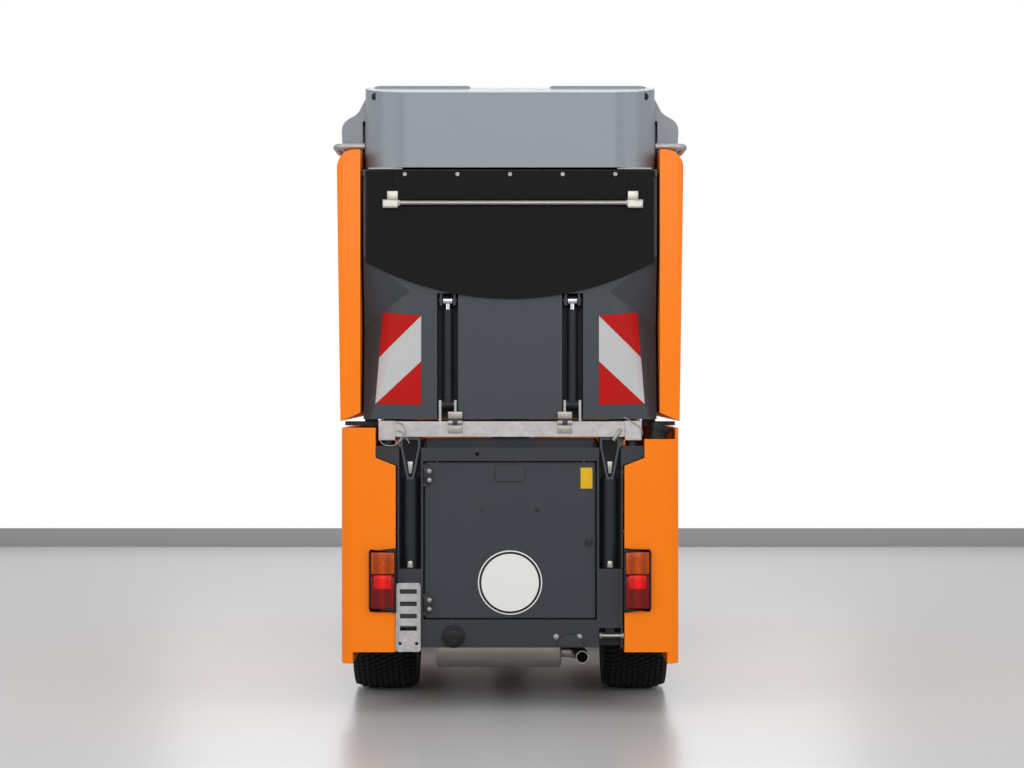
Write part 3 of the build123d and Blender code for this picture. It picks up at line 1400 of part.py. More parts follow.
# Steering column with its wheel, on a small console
WHEEL_CENTRE = (0, 395, 985)
with BuildPart() as steering_column:
    block((-300, 300), (600, 690), (CAB_FLOOR_Z + 250, WAIST_Z - 20))
    block((-70, 70), (520, 640), (CAB_FLOOR_Z + GAP, WAIST_Z - 60))
    bar((0, 560, WAIST_Z - 120), WHEEL_CENTRE, 24)
    tilt = Plane(origin=WHEEL_CENTRE, z_dir=(0, -0.75, 0.66))
    with Locations(tilt.location):
        Torus(170, 13)
    for turn in (0, 90):
        spoke = Plane(origin=WHEEL_CENTRE, x_dir=tilt.x_dir, z_dir=tilt.z_dir).rotated((0, 0, turn))
        with Locations(spoke.location):
            Box(330, 28, 10)
save(steering_column.part, "steering_column")

# Head lamps on the nose
with BuildPart() as head_lamps:
    for side in (-1, 1):
        with Locations(Plane(origin=(side * 335, 872, 640), z_dir=(side * 0.16, 1, 0.05)).location):
            Box(110, 120, 60)
        with Locations(Plane(origin=(side * 335, 902, 640), z_dir=(side * 0.16, 1, 0.05)).location):
            Cylinder(44, 10)
    add(cab_outer, mode=Mode.SUBTRACT)
save(head_lamps.part.moved(Location((0, GAP, 0))), "head_lamps")

# Mirrors on bent arms at the front pillars
MIRROR_X = 628
with BuildPart() as mirrors:
    for side in (-1, 1):
        foot = (side * 478, 665, 1400)
        elbow = (side * MIRROR_X, 735, 1470)
        bar(foot, elbow, 9)
        bar((elbow[0], elbow[1], 1400), (elbow[0], elbow[1], 1620), 9)
        with BuildSketch(Plane.XZ.offset(-720)):
            with Locations((side * MIRROR_X, 1510)):
                RectangleRounded(136, 250, 28)
        extrude(amount=28)
    add(cab_outer, mode=Mode.SUBTRACT)
save(mirrors.part, "mirrors")

# Suction duct on the front module: up from the mouth, back between the rails, up behind the seat
MOUTH_Y = 760
MOUTH_HALF_X = 215
MOUTH_DEPTH = 110
MOUTH_PLATE = 128
RISER_Y = -140
with BuildPart() as suction_duct:
    duct_foot = (0, MOUTH_Y, MOUTH_PLATE + GAP)
    with BuildLine():
        FilletPolyline(
            duct_foot,
            (0, MOUTH_Y, DUCT_Z),
            (0, RISER_Y, DUCT_Z),
            (0, RISER_Y, HOSE_Z),
            (0, CAB_REAR - 10, HOSE_Z),
            radius=(100, 100, 100),
        )
    with BuildSketch(Plane(origin=duct_foot, z_dir=(0, 0, 1))):
        Circle(DUCT_RADIUS)
        Circle(DUCT_RADIUS - DUCT_WALL, mode=Mode.SUBTRACT)
    sweep()
    # Saddles on the rails
    for y in (560, 120):
        for side in (-1, 1):
            block((side * 70, side * (RAIL_IN - GAP)), (y - 12, y + 12), (RAIL_TOP - 20, RAIL_TOP - 8))
save(suction_duct.part, "suction_duct")

# Suction mouth: an open trough behind the brushes, hung under the nose
with BuildPart() as suction_mouth:
    with BuildSketch(Plane.XY.offset(MOUTH_CLEAR)):
        with Locations((0, MOUTH_Y)):
            Rectangle(2 * MOUTH_HALF_X, 2 * MOUTH_DEPTH)
    with BuildSketch(Plane.XY.offset(MOUTH_PLATE)):
        with Locations((0, MOUTH_Y)):
            Rectangle(2 * MOUTH_HALF_X - 90, 2 * MOUTH_DEPTH - 20)
    loft()
    with BuildSketch(Plane.XY.offset(MOUTH_CLEAR - 1)):
        with Locations((0, MOUTH_Y)):
            Rectangle(2 * MOUTH_HALF_X - 24, 2 * MOUTH_DEPTH - 24)
    with BuildSketch(Plane.XY.offset(MOUTH_PLATE - 12)):
        with Locations((0, MOUTH_Y)):
            Rectangle(2 * MOUTH_HALF_X - 114, 2 * MOUTH_DEPTH - 44)
    loft(mode=Mode.SUBTRACT)
    bar((0, MOUTH_Y, MOUTH_PLATE - 14), (0, MOUTH_Y, MOUTH_PLATE + 1), DUCT_RADIUS - DUCT_WALL, Mode.SUBTRACT)
    for side in (-1, 1):
        block((side * 140, side * 150), (MOUTH_Y + 64, MOUTH_Y + 84), (MOUTH_PLATE - 4, RAIL_LOW - GAP))
save(suction_mouth.part, "suction_mouth")

# Flexible hose between the two modules, with its rings
HOSE_START = CAB_REAR - 10 - GAP
HOSE_END = MODULE_FRONT - 4 + GAP
with BuildPart() as flex_hose:
    bar((0, HOSE_START, HOSE_Z), (0, HOSE_END, HOSE_Z), HOSE_RADIUS - 8)
    rings = 9
    pitch = (HOSE_END - HOSE_START) / rings
    for ring in range(rings):
        y = HOSE_START + (ring + 0.5) * pitch
        bar((0, y - pitch / 4, HOSE_Z), (0, y + pitch / 4, HOSE_Z), HOSE_RADIUS)
    bar((0, HOSE_START + 1, HOSE_Z), (0, HOSE_END - 1, HOSE_Z), DUCT_RADIUS - DUCT_WALL, Mode.SUBTRACT)
save(flex_hose.part, "flex_hose")

# Lift frame of the front sweeping gear, on its pin at the nose
HUB_OUTER = 24
CROSS_LOW = 306
CROSS_TOP = 350
ARM_PLATE_Z = CROSS_TOP + 4
ARM_PLATE = 14
PIVOT_STUD = 16
with BuildPart() as front_linkage:
    bar((-150, LINKAGE_Y, LINKAGE_Z), (150, LINKAGE_Y, LINKAGE_Z), HUB_OUTER)
    for side in (-1, 1):
        block((side * 70, side * 130), (LINKAGE_Y, BRUSH_ARM_Y), (CROSS_LOW + 4, CROSS_TOP))
    block((-BRUSH_ARM_X, BRUSH_ARM_X), (BRUSH_ARM_Y - 28, BRUSH_ARM_Y + 28), (CROSS_LOW, CROSS_TOP))
    for side in (-1, 1):
        stud = (side * BRUSH_ARM_X, BRUSH_ARM_Y)
        bar((*stud, CROSS_LOW), (*stud, CROSS_TOP), 34)
        bar((*stud, CROSS_TOP - 1), (*stud, ARM_PLATE_Z + 70), PIVOT_STUD)
    bar((-151, LINKAGE_Y, LINKAGE_Z), (151, LINKAGE_Y, LINKAGE_Z), LINKAGE_PIN + 0.5, Mode.SUBTRACT)
save(front_linkage.part, "front_linkage")

# Brush arms: a plate from the pivot to the brush motor, with a raised flange
MOTOR_RADIUS = 58
SHAFT_RADIUS = 18
for name, side in SIDES.items():
    pivot = Vector(side * BRUSH_ARM_X, BRUSH_ARM_Y, ARM_PLATE_Z + GAP)
    motor = Vector(side * BRUSH_X, BRUSH_Y, ARM_PLATE_Z + GAP)
    reach = motor - pivot
    with BuildPart() as brush_arm:
        with BuildSketch(Plane(origin=(pivot + motor) * 0.5, x_dir=reach, z_dir=(0, 0, 1))):
            SlotCenterToCenter(reach.length, 84)
        extrude(amount=ARM_PLATE)
        with BuildSketch(Plane(origin=(pivot + motor) * 0.5, x_dir=reach, z_dir=(0, 0, 1))):
            Rectangle(reach.length, 16)
        extrude(amount=ARM_PLATE + 34)
        bar(pivot, pivot + Vector(0, 0, 56), 36)
        bar(motor, motor + Vector(0, 0, 86), MOTOR_RADIUS)
        bar(motor - Vector(0, 0, 40), motor + Vector(0, 0, 1), MOTOR_RADIUS - 14)
        bar(motor - Vector(0, 0, 110), motor, SHAFT_RADIUS)
        bar(pivot - Vector(0, 0, 1), pivot + Vector(0, 0, 57), PIVOT_STUD + 0.5, Mode.SUBTRACT)
    save(brush_arm.part, f"brush_arm_{name}")

# Disc brushes: a plate with a hub, and flared tufts down to the ground
TUFT_WIDTH = 24
for name, side in SIDES.items():
    with BuildPart() as brush:
        with Locations((0, 0, BRUSH_DISC_Z + 10)):
            Cylinder(BRUSH_DISC_RADIUS, 20)
        with Locations((0, 0, BRUSH_DISC_Z + 50)):
            Cylinder(46, 100)
        for tuft in range(TUFT_COUNT):
            turn = math.radians(360 * tuft / TUFT_COUNT + 90)
            out = Vector(math.cos(turn), math.sin(turn), 0)
            with BuildSketch(Plane(origin=(0, 0, 0), x_dir=out, z_dir=out.cross(Vector(0, 0, 1)))):
                with BuildLine():
                    Polyline(
                        (BRUSH_DISC_RADIUS - 40, BRUSH_DISC_Z + 4),
                        (BRUSH_DISC_RADIUS - 4, BRUSH_DISC_Z + 4),
                        (BRUSH_RADIUS, BRUSH_CLEAR + 4),
                        (BRUSH_RADIUS - 8, BRUSH_CLEAR),
                        (BRUSH_RADIUS - 54, BRUSH_CLEAR),
                        close=True,
                    )
                make_face()
            extrude(amount=TUFT_WIDTH / 2, both=True)
        with Locations((0, 0, BRUSH_DISC_Z + 60)):
            Cylinder(SHAFT_RADIUS + 0.5, 130, mode=Mode.SUBTRACT)
    save(brush.part.moved(Location((side * BRUSH_X, BRUSH_Y, 0))), f"brush_{name}")
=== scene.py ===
import math

import bpy
from mathutils import Matrix, Vector


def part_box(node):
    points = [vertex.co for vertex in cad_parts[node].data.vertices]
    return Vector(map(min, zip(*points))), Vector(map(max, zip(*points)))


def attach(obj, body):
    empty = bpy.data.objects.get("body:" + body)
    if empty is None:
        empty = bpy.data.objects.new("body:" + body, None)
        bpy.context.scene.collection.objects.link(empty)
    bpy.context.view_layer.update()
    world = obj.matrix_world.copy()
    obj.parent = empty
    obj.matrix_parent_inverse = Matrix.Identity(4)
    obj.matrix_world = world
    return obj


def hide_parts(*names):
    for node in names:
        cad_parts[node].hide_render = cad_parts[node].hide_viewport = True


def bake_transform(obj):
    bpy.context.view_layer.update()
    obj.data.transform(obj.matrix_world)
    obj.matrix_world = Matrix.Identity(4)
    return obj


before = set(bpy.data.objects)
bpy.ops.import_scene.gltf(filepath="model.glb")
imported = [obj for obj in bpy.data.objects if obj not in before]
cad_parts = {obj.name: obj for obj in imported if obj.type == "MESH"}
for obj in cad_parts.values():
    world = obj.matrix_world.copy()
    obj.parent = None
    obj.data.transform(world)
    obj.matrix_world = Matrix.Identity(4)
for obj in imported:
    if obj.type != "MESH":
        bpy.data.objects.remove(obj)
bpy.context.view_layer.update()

# Studio: a polished pale concrete floor that ends at a white wall, with a grey skirting board.
# The camera stands behind the machine at chest height and looks level along it.
# The light is soft and comes from large panels above and at both sides.


def linear(code):
    """An sRGB hex value as linear red, green, blue and alpha."""
    parts = [int(code[i:i + 2], 16) / 255 for i in (0, 2, 4)]
    return (*[p / 12.92 if p <= 0.04045 else ((p + 0.055) / 1.055) ** 2.4 for p in parts], 1)


def add_node(tree, kind, settings=None, links=None):
    """Adds one shader node, with its settings by socket or property, and its links by socket."""
    made = tree.nodes.new("ShaderNode" + kind)
    for key, value in (settings or {}).items():
        if isinstance(key, int) or key in made.inputs:
            made.inputs[key].default_value = value
        else:
            setattr(made, key, value)
    for key, output in (links or {}).items():
        tree.links.new(output, made.inputs[key])
    return made


def clear():
    """Leaves edit mode with nothing selected."""
    if bpy.context.object and bpy.context.object.mode != "OBJECT":
        bpy.ops.object.mode_set(mode="OBJECT")
    bpy.ops.object.select_all(action="DESELECT")


def blank(name, low, high):
    """A box between two corners in millimetres, ready to be shaped."""
    clear()
    middle = [(a + b) / 2000 for a, b in zip(low, high)]
    size = [(b - a) / 1000 for a, b in zip(low, high)]
    bpy.ops.mesh.primitive_cube_add(size=1, location=middle, scale=size)
    bpy.ops.object.transform_apply(location=True, rotation=True, scale=True)
    bpy.context.object.name = name
    return bpy.context.object


camera_data = bpy.data.cameras.new("camera")
camera_data.lens = 73.7
camera_data.sensor_width = 36
camera = bpy.data.objects.new("camera", camera_data)
camera.location = (0.006, -8.26, 1.019)
camera.rotation_euler = (math.radians(90), 0, 0)
bpy.context.scene.collection.objects.link(camera)
bpy.context.scene.camera = camera
bpy.context.scene.view_settings.view_transform = "Standard"

WALL_Y = 4900
floor = blank("floor", (-12000, -12000, -40), (12000, WALL_Y, 0))
skirting = blank("skirting_board", (-12000, WALL_Y, 0), (12000, WALL_Y + 20, 113))
for ground, code, roughness in ((floor, "C6C6C7", 0.3), (skirting, "A6A6A6", 0.6)):
    stuff = bpy.data.materials.new(f"{ground.name}_concrete")
    stuff.use_nodes = True
    shader = stuff.node_tree.nodes["Principled BSDF"]
    place = add_node(stuff.node_tree, "TexCoord").outputs["Object"]
    cloud = add_node(stuff.node_tree, "TexNoise", {"Scale": 1.6, "Detail": 4}, {"Vector": place})
    tone = add_node(
        stuff.node_tree,
        "MapRange",
        {"To Min": 0.97, "To Max": 1.03},
        {"Value": cloud.outputs[0]},
    )
    base = add_node(
        stuff.node_tree,
        "MixRGB",
        {"blend_type": "MULTIPLY", "Fac": 1, "Color1": linear(code)},
        {"Color2": tone.outputs[0]},
    )
    stuff.node_tree.links.new(base.outputs[0], shader.inputs["Base Color"])
    shader.inputs["Roughness"].default_value = roughness
    shader.inputs["Specular IOR Level"].default_value = 0.2
    ground.data.materials.append(stuff)

world = bpy.context.scene.world or bpy.data.worlds.new("world")
bpy.context.scene.world = world
world.use_nodes = True
world.node_tree.nodes.clear()
AMBIENT = 0.52
rays = add_node(world.node_tree, "LightPath")
seen = add_node(
    world.node_tree,
    "Math",
    {"operation": "MAXIMUM"},
    {0: rays.outputs["Is Camera Ray"], 1: rays.outputs["Is Transmission Ray"]},
)
mirrored_rays = add_node(
    world.node_tree,
    "Math",
    {"operation": "MULTIPLY", 1: 0.42},
    {0: rays.outputs["Is Glossy Ray"]},
)
shown = add_node(
    world.node_tree,
    "Math",
    {"operation": "MAXIMUM"},
    {0: seen.outputs[0], 1: mirrored_rays.outputs[0]},
)
strength = add_node(
    world.node_tree,
    "MapRange",
    {"To Min": AMBIENT, "To Max": 1.0},
    {"Value": shown.outputs[0]},
)
sky = add_node(world.node_tree, "Background", {"Color": (1, 1, 1, 1)}, {"Strength": strength.outputs[0]})
add_node(world.node_tree, "OutputWorld", None, {"Surface": sky.outputs[0]})

LIGHTS = (
    ("overhead", (0, -0.6, 5.6), (0, -0.3, 0), 6.5, 5.0, 85),
    ("left_panel", (-5.2, -5.2, 3.0), (0, -1.2, 1.0), 4.2, 3.6, 95),
    ("right_panel", (5.2, -5.2, 3.0), (0, -1.2, 1.0), 4.2, 3.6, 95),
    ("rear_panel", (0, -10.5, 3.4), (0, -1.7, 1.0), 5.0, 3.0, 170),
    ("front_panel", (0, 6.6, 3.4), (0, 0.6, 1.0), 5.0, 3.0, 130),
)
for name, place_at, aim, width, height, watts in LIGHTS:
    lamp = bpy.data.lights.new(name, "AREA")
    lamp.shape = "RECTANGLE"
    lamp.size = width
    lamp.size_y = height
    lamp.energy = watts
    holder = bpy.data.objects.new(name, lamp)
    holder.location = place_at
    holder.rotation_euler = (Vector(aim) - Vector(place_at)).to_track_quat("-Z", "Y").to_euler()
    bpy.context.scene.collection.objects.link(holder)

# Chassis: two welded modules of rolled steel sections, shot-blasted and powder coated
# anthracite. The coat is satin, with a fine orange peel, and its corners are a little paler, a painted
# highlight.
# The axles below take the same coat.


def coat(name, colour, roughness, grain, depth, drift=0.05, edge_highlight=None, radius=1.5, shine=0.25):
    """A sprayed or moulded surface: a slow drift of tone, a fine grain and softened corners, which an
    edge_highlight colour makes paler as a painted highlight.
    Grain, depth and radius are in millimetres, and shine is the specular level."""
    material = bpy.data.materials.new(name)
    material.use_nodes = True
    tree = material.node_tree
    shader = tree.nodes["Principled BSDF"]
    shader.inputs["Specular IOR Level"].default_value = shine
    place = add_node(tree, "TexCoord").outputs["Object"]
    slow = add_node(tree, "TexNoise", {"Scale": 1000 / 210, "Detail": 3}, {"Vector": place})
    fine = add_node(tree, "TexNoise", {"Scale": 1000 / grain, "Detail": 2}, {"Vector": place})
    tone = add_node(
        tree,
        "MapRange",
        {"To Min": 1 - drift, "To Max": 1 + drift},
        {"Value": slow.outputs[0]},
    )
    base = add_node(
        tree,
        "MixRGB",
        {"blend_type": "MULTIPLY", "Fac": 1, "Color1": linear(colour)},
        {"Color2": tone.outputs[0]},
    )
    soft = add_node(tree, "Bevel", {"samples": 4, "Radius": radius / 1000})
    # Corners within the bevel's radius are mixed toward the edge_highlight colour: a painted highlight.
    if edge_highlight:
        facing = add_node(tree, "NewGeometry").outputs["Normal"]
        along = add_node(
            tree,
            "VectorMath",
            {"operation": "DOT_PRODUCT"},
            {0: soft.outputs[0], 1: facing},
        )
        corner = add_node(
            tree,
            "MapRange",
            {"From Min": 0.995, "From Max": 0.93},
            {"Value": along.outputs["Value"]},
        )
        base = add_node(
            tree,
            "MixRGB",
            {"Color2": linear(edge_highlight)},
            {"Fac": corner.outputs[0], "Color1": base.outputs[0]},
        )
    tree.links.new(base.outputs[0], shader.inputs["Base Color"])
    gloss = add_node(
        tree,
        "MapRange",
        {"To Min": roughness - 0.05, "To Max": roughness + 0.05},
        {"Value": slow.outputs[0]},
    )
    tree.links.new(gloss.outputs[0], shader.inputs["Roughness"])
    bump = add_node(
        tree,
        "Bump",
        {"Strength": 0.5, "Distance": depth / 1000},
        {"Height": fine.outputs[0], "Normal": soft.outputs[0]},
    )
    tree.links.new(bump.outputs[0], shader.inputs["Normal"])
    return material


def dress(material, *nodes):
    """Gives CAD nodes their finish."""
    for node in nodes:
        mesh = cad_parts[node].data
        mesh.materials.clear()
        mesh.materials.append(material)


# The chassis coat's paler corners are a painted highlight.
chassis_coat = coat("powder_coated_chassis", "34363A", 0.5, 1.6, 0.12, edge_highlight="55585D")
dress(chassis_coat, "rear_frame", "front_frame", "rear_axle", "front_axle")

# Engine: a small water-cooled diesel on the rear rails, under the hopper. Its cast block
# carries a dull grey primer with an oily film, and is mostly hidden by the panels.

cast_iron = coat("primed_cast_iron", "4A4C4D", 0.6, 5, 0.4, drift=0.16)
dress(cast_iron, "engine_block")

# Tyres: low turf tyres of black rubber with nine columns of moulded tread blocks, on dished
# steel rims painted light grey. Each is one carcass with its blocks, and its flanks are ribbed.
# New rubber is nearly black, with a dry bloom; the corners of the rubber and of the rim paint are a little
# paler, a painted highlight.

rubber = coat("moulded_tyre_rubber", "171717", 0.72, 2.2, 0.25, drift=0.22, edge_highlight="2A2A2A")
rubber.node_tree.nodes["Principled BSDF"].inputs["Specular IOR Level"].default_value = 0.3
rim_paint = coat("rim_enamel", "8F9295", 0.42, 2, 0.1, edge_highlight="A9ACAE")
TREAD_COLUMNS = (-80, -60, -40, -20, 0, 20, 40, 60, 80)
TREAD_PITCHES = 88
FLANK = (
    (150, 103),
    (176, 110),
    (212, 113),
    (246, 110),
    (262, 101),
    (276, 90),
    (283, 60),
    (283, 20),
)


def settle(piece, body, material, smooth=35):
    """Ends a piece: its place goes into its mesh, and it gets its finish, body and slot."""
    clear()
    bpy.context.view_layer.objects.active = piece
    piece.select_set(True)
    bpy.ops.object.transform_apply(location=True, rotation=True, scale=True)
    if smooth:
        bpy.ops.object.shade_smooth_by_angle(angle=math.radians(smooth))
    if material:
        piece.data.materials.clear()
        piece.data.materials.append(material)
    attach(piece, body)
    return piece


def choose(piece, test, kind="FACE"):
    """Opens a mesh for editing with only the faces or vertices that pass the test selected."""
    clear()
    bpy.context.view_layer.objects.active = piece
    piece.select_set(True)
    bpy.ops.object.mode_set(mode="EDIT")
    bpy.ops.mesh.select_mode(type=kind)
    bpy.ops.mesh.select_all(action="DESELECT")
    bpy.ops.object.mode_set(mode="OBJECT")
    for part in piece.data.polygons if kind == "FACE" else piece.data.vertices:
        part.select = test(part)
    bpy.ops.object.mode_set(mode="EDIT")


def apply(piece, kind, **settings):
    """Adds one modifier with its settings and applies it."""
    clear()
    bpy.context.view_layer.objects.active = piece
    piece.select_set(True)
    made = piece.modifiers.new(kind.lower(), kind)
    for key, value in settings.items():
        setattr(made, key, value)
    bpy.ops.object.modifier_apply(modifier=made.name)


def ease(piece, width, segments=2, angle=30):
    """Rounds a piece's corners by a width in millimetres."""
    apply(
        piece,
        "BEVEL",
        width=width / 1000,
        segments=segments,
        limit_method="ANGLE",
        angle_limit=math.radians(angle),
    )


def weld(name, pieces):
    """Joins pieces into one, and gives it a name."""
    clear()
    for piece in pieces:
        piece.select_set(True)
    bpy.context.view_layer.objects.active = pieces[0]
    if len(pieces) > 1:
        bpy.ops.object.join()
    bpy.context.object.name = name
    return bpy.context.object


def copied(piece, name, move=(0, 0, 0), turn=None, about=(0, 0, 0), axis=(1, 0, 0)):
    """A copy with its own mesh, turned about an axis and then moved, in millimetres."""
    other = piece.copy()
    other.data = piece.data.copy()
    other.name = name
    bpy.context.scene.collection.objects.link(other)
    change = Matrix.Translation([value / 1000 for value in move])
    if turn:
        centre = Vector([value / 1000 for value in about])
        spin = Matrix.Rotation(turn, 4, Vector(axis))
        change = change @ Matrix.Translation(centre) @ spin @ Matrix.Translation(-centre)
    other.data.transform(change)
    return other


def revolved(name, outline, centre, axis="X", steps=48):
    """Spins an outline of (radius, along) pairs, in millimetres, about an axis through a centre."""
    clear()
    bpy.ops.mesh.primitive_plane_add(size=1)
    piece = bpy.context.object
    piece.name = name
    bpy.ops.object.mode_set(mode="EDIT")
    bpy.ops.mesh.delete(type="VERT")
    bpy.ops.object.mode_set(mode="OBJECT")
    along = {"X": Vector((1, 0, 0)), "Y": Vector((0, 1, 0)), "Z": Vector((0, 0, 1))}[axis]
    out = {"X": Vector((0, 0, 1)), "Y": Vector((0, 0, 1)), "Z": Vector((1, 0, 0))}[axis]
    middle = Vector(centre) / 1000
    points = [middle + out * (radius / 1000) + along * (step / 1000) for radius, step in outline]
    piece.data.from_pydata(points, [(i, i + 1) for i in range(len(points) - 1)], [])
    choose(piece, lambda vertex: True, "VERT")
    bpy.ops.mesh.spin(steps=steps, angle=2 * math.pi, center=middle, axis=along)
    bpy.ops.mesh.select_all(action="SELECT")
    bpy.ops.mesh.remove_doubles(threshold=0.00002)
    bpy.ops.mesh.normals_make_consistent(inside=False)
    clear()
    return piece


left_flank = [(radius, -along) for radius, along in FLANK]
right_flank = [(radius, along) for radius, along in reversed(FLANK)]
wheel = revolved("carcass", [*left_flank, *right_flank], (0, 0, 0))
block = blank("tread_block", (-8.5, -7, 281), (8.5, 7, 291.5))
choose(block, lambda face: face.normal.z > 0.9)
bpy.ops.transform.resize(value=(0.86, 0.84, 1))
clear()
for vertex in block.data.vertices:
    vertex.co.y += vertex.co.x * 0.35
blocks = []
for index, column in enumerate(TREAD_COLUMNS):
    for step in range(TREAD_PITCHES):
        angle = 2 * math.pi * (step + 0.5 * (index % 2)) / TREAD_PITCHES
        drop = -3 if abs(column) > 70 else 0
        tile = copied(block, "tile", (column, 0, drop))
        blocks.append(copied(tile, "tile", turn=angle))
        bpy.data.objects.remove(tile)
bpy.data.objects.remove(block)
lug = blank("shoulder_lug", (93, -6, 250), (111, 6, 283))
choose(lug, lambda face: face.normal.x > 0.9)
bpy.ops.transform.resize(value=(1, 0.7, 0.75))
clear()
for side in (0, math.pi):
    faced = copied(lug, "lug", turn=side, axis=(0, 0, 1)) if side else copied(lug, "lug")
    for step in range(TREAD_PITCHES):
        blocks.append(copied(faced, "lug", turn=2 * math.pi * (step + 0.25) / TREAD_PITCHES))
    bpy.data.objects.remove(faced)
bpy.data.objects.remove(lug)
wheel = weld("carcass", [wheel, *blocks])

for node in ("rear_left", "rear_right", "front_left", "front_right"):
    low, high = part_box(f"tyre_{node}")
    hub = (low + high) * 500
    scale = (high.x - low.x) * 1000 / 226
    piece = copied(wheel, f"tyre_{node}_treaded")
    for vertex in piece.data.vertices:
        vertex.co.x *= min(scale, 1)
        vertex.co += hub / 1000
    settle(piece, f"wheel_{node}", rubber)
    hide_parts(f"tyre_{node}")
    dress(rim_paint, f"rim_{node}")
bpy.data.objects.remove(wheel)

# Silencer: a rolled stainless drum across the rear with pressed ends and a turned-down tailpipe.
# It is brushed along its length.


def metal(name, colour, roughness, grain, stretch=(1, 1, 1), drift=0.08, depth=0.05, radius=1.0):
    """Bare or plated metal: a fine grain, stretched along its brushing, and a slow drift of tone."""
    material = bpy.data.materials.new(name)
    material.use_nodes = True
    tree = material.node_tree
    shader = tree.nodes["Principled BSDF"]
    place = add_node(tree, "TexCoord").outputs["Object"]
    along = add_node(tree, "Mapping", {"Scale": stretch}, {"Vector": place})
    slow = add_node(tree, "TexNoise", {"Scale": 1000 / 60, "Detail": 3}, {"Vector": place})
    fine = add_node(tree, "TexNoise", {"Scale": 1000 / grain, "Detail": 3}, {"Vector": along.outputs[0]})
    mixed = add_node(tree, "Math", {"operation": "MULTIPLY"}, {0: slow.outputs[0], 1: fine.outputs[0]})
    tone = add_node(
        tree,
        "MapRange",
        {"From Min": 0.12, "From Max": 0.4, "To Min": 1 - drift, "To Max": 1 + drift},
        {"Value": mixed.outputs[0]},
    )
    base = add_node(
        tree,
        "MixRGB",
        {"blend_type": "MULTIPLY", "Fac": 1, "Color1": linear(colour)},
        {"Color2": tone.outputs[0]},
    )
    tree.links.new(base.outputs[0], shader.inputs["Base Color"])
    gloss = add_node(
        tree,
        "MapRange",
        {"To Min": roughness - 0.1, "To Max": roughness + 0.1},
        {"Value": fine.outputs[0]},
    )
    tree.links.new(gloss.outputs[0], shader.inputs["Roughness"])
    soft = add_node(tree, "Bevel", {"samples": 4, "Radius": radius / 1000})
    bump = add_node(
        tree,
        "Bump",
        {"Strength": 0.5, "Distance": depth / 1000},
        {"Height": fine.outputs[0], "Normal": soft.outputs[0]},
    )
    tree.links.new(bump.outputs[0], shader.inputs["Normal"])
    shader.inputs["Metallic"].default_value = 1
    return material


stainless = metal("brushed_stainless_steel", "9C9891", 0.38, 1.2, (0.08, 1, 1))
dress(stainless, "muffler")

# Engine door: one folded sheet with a pressed rim, powder coated anthracite as the frame is.
# It carries a quarter-turn lock, a pull, two dimples, a blank speed disc and a blank plate.

# The sheet's corners are a little paler: a painted highlight.
sheet_coat = coat("powder_coated_sheet", "373B41", 0.42, 1.4, 0.1, edge_highlight="5B5F65")
dress(sheet_coat, "engine_door")
black_zinc = metal("black_zinc_plate", "3A3B3D", 0.4, 1.5, drift=0.15)
zinc = metal("zinc_plate", "A19E97", 0.34, 1.5, drift=0.12)


def turned(name, centre, radius, length, axis="Y", sides=24, tip=None):
    """A turned blank along an axis from its centre, in millimetres, its end to -Y, +X or +Z."""
    clear()
    turn = {"X": (0, math.pi / 2, 0), "Y": (math.pi / 2, 0, 0), "Z": (0, 0, 0)}[axis]
    bpy.ops.mesh.primitive_cone_add(
        vertices=sides,
        radius1=radius / 1000,
        radius2=(radius if tip is None else tip) / 1000,
        depth=length / 1000,
        location=[value / 1000 for value in centre],
        rotation=turn,
    )
    bpy.ops.object.transform_apply(location=True, rotation=True, scale=True)
    bpy.context.object.name = name
    return bpy.context.object


def hex_screw(
    name,
    places,
    flats,
    height,
    body,
    axis="Y",
    face=-1,
    washer=1.35,
    finish=zinc,
):
    """Hexagon screws on washers: one is shaped and copied to each place under its head."""
    out = Vector({"X": (1, 0, 0), "Y": (0, 1, 0), "Z": (0, 0, 1)}[axis]) * face
    ring = turned("washer", out * 0.8, flats / 2 * washer, 1.6, axis, 20)
    head = turned("head", out * (1.6 + height / 2), flats / 2, height, axis, 6)
    choose(head, lambda polygon: polygon.normal.dot(out) > 0.9)
    bpy.ops.mesh.inset(thickness=flats / 2000 * 0.16, depth=height / 1000 * 0.14)
    clear()
    ease(head, flats * 0.04, 1, 40)
    first = weld("screw", [ring, head])
    heads = [copied(first, "screw", place) for place in places]
    bpy.data.objects.remove(first)
    return settle(weld(name, heads), body, finish)


def round_screw(
    name,
    places,
    radius,
    height,
    body,
    axis="Y",
    face=-1,
    finish=black_zinc,
):
    """Low round-headed screws with a recess for a key, shaped once and copied to each place."""
    out = Vector({"X": (1, 0, 0), "Y": (0, 1, 0), "Z": (0, 0, 1)}[axis]) * face
    head = turned("head", out * height / 2, radius, height, axis, 20)
    choose(head, lambda polygon: polygon.normal.dot(out) > 0.9)
    bpy.ops.mesh.inset(thickness=radius / 1000 * 0.3)
    bpy.ops.mesh.inset(thickness=radius / 1000 * 0.2)
    bpy.ops.mesh.extrude_region_move(TRANSFORM_OT_translate={"value": -out * height * 0.0005})
    clear()
    ease(head, radius * 0.12, 2, 40)
    heads = [copied(head, "head", place) for place in places]
    bpy.data.objects.remove(head)
    return settle(weld(name, heads), body, finish)


DOOR_FACE = -1745
LOCK = (245, DOOR_FACE, 526)
DISC = (0, DOOR_FACE, 402)
PLATE = ((219, 256), (694, 759))

white_sheet = coat("retroreflective_white_sheet", "E9E9E6", 0.4, 0.6, 0.02, drift=0.02)
black_ink = coat("screen_printed_black", "151515", 0.45, 0.8, 0.02, drift=0.05)
yellow_sheet = coat("vinyl_yellow_label", "E3B30F", 0.4, 0.8, 0.02, drift=0.03)

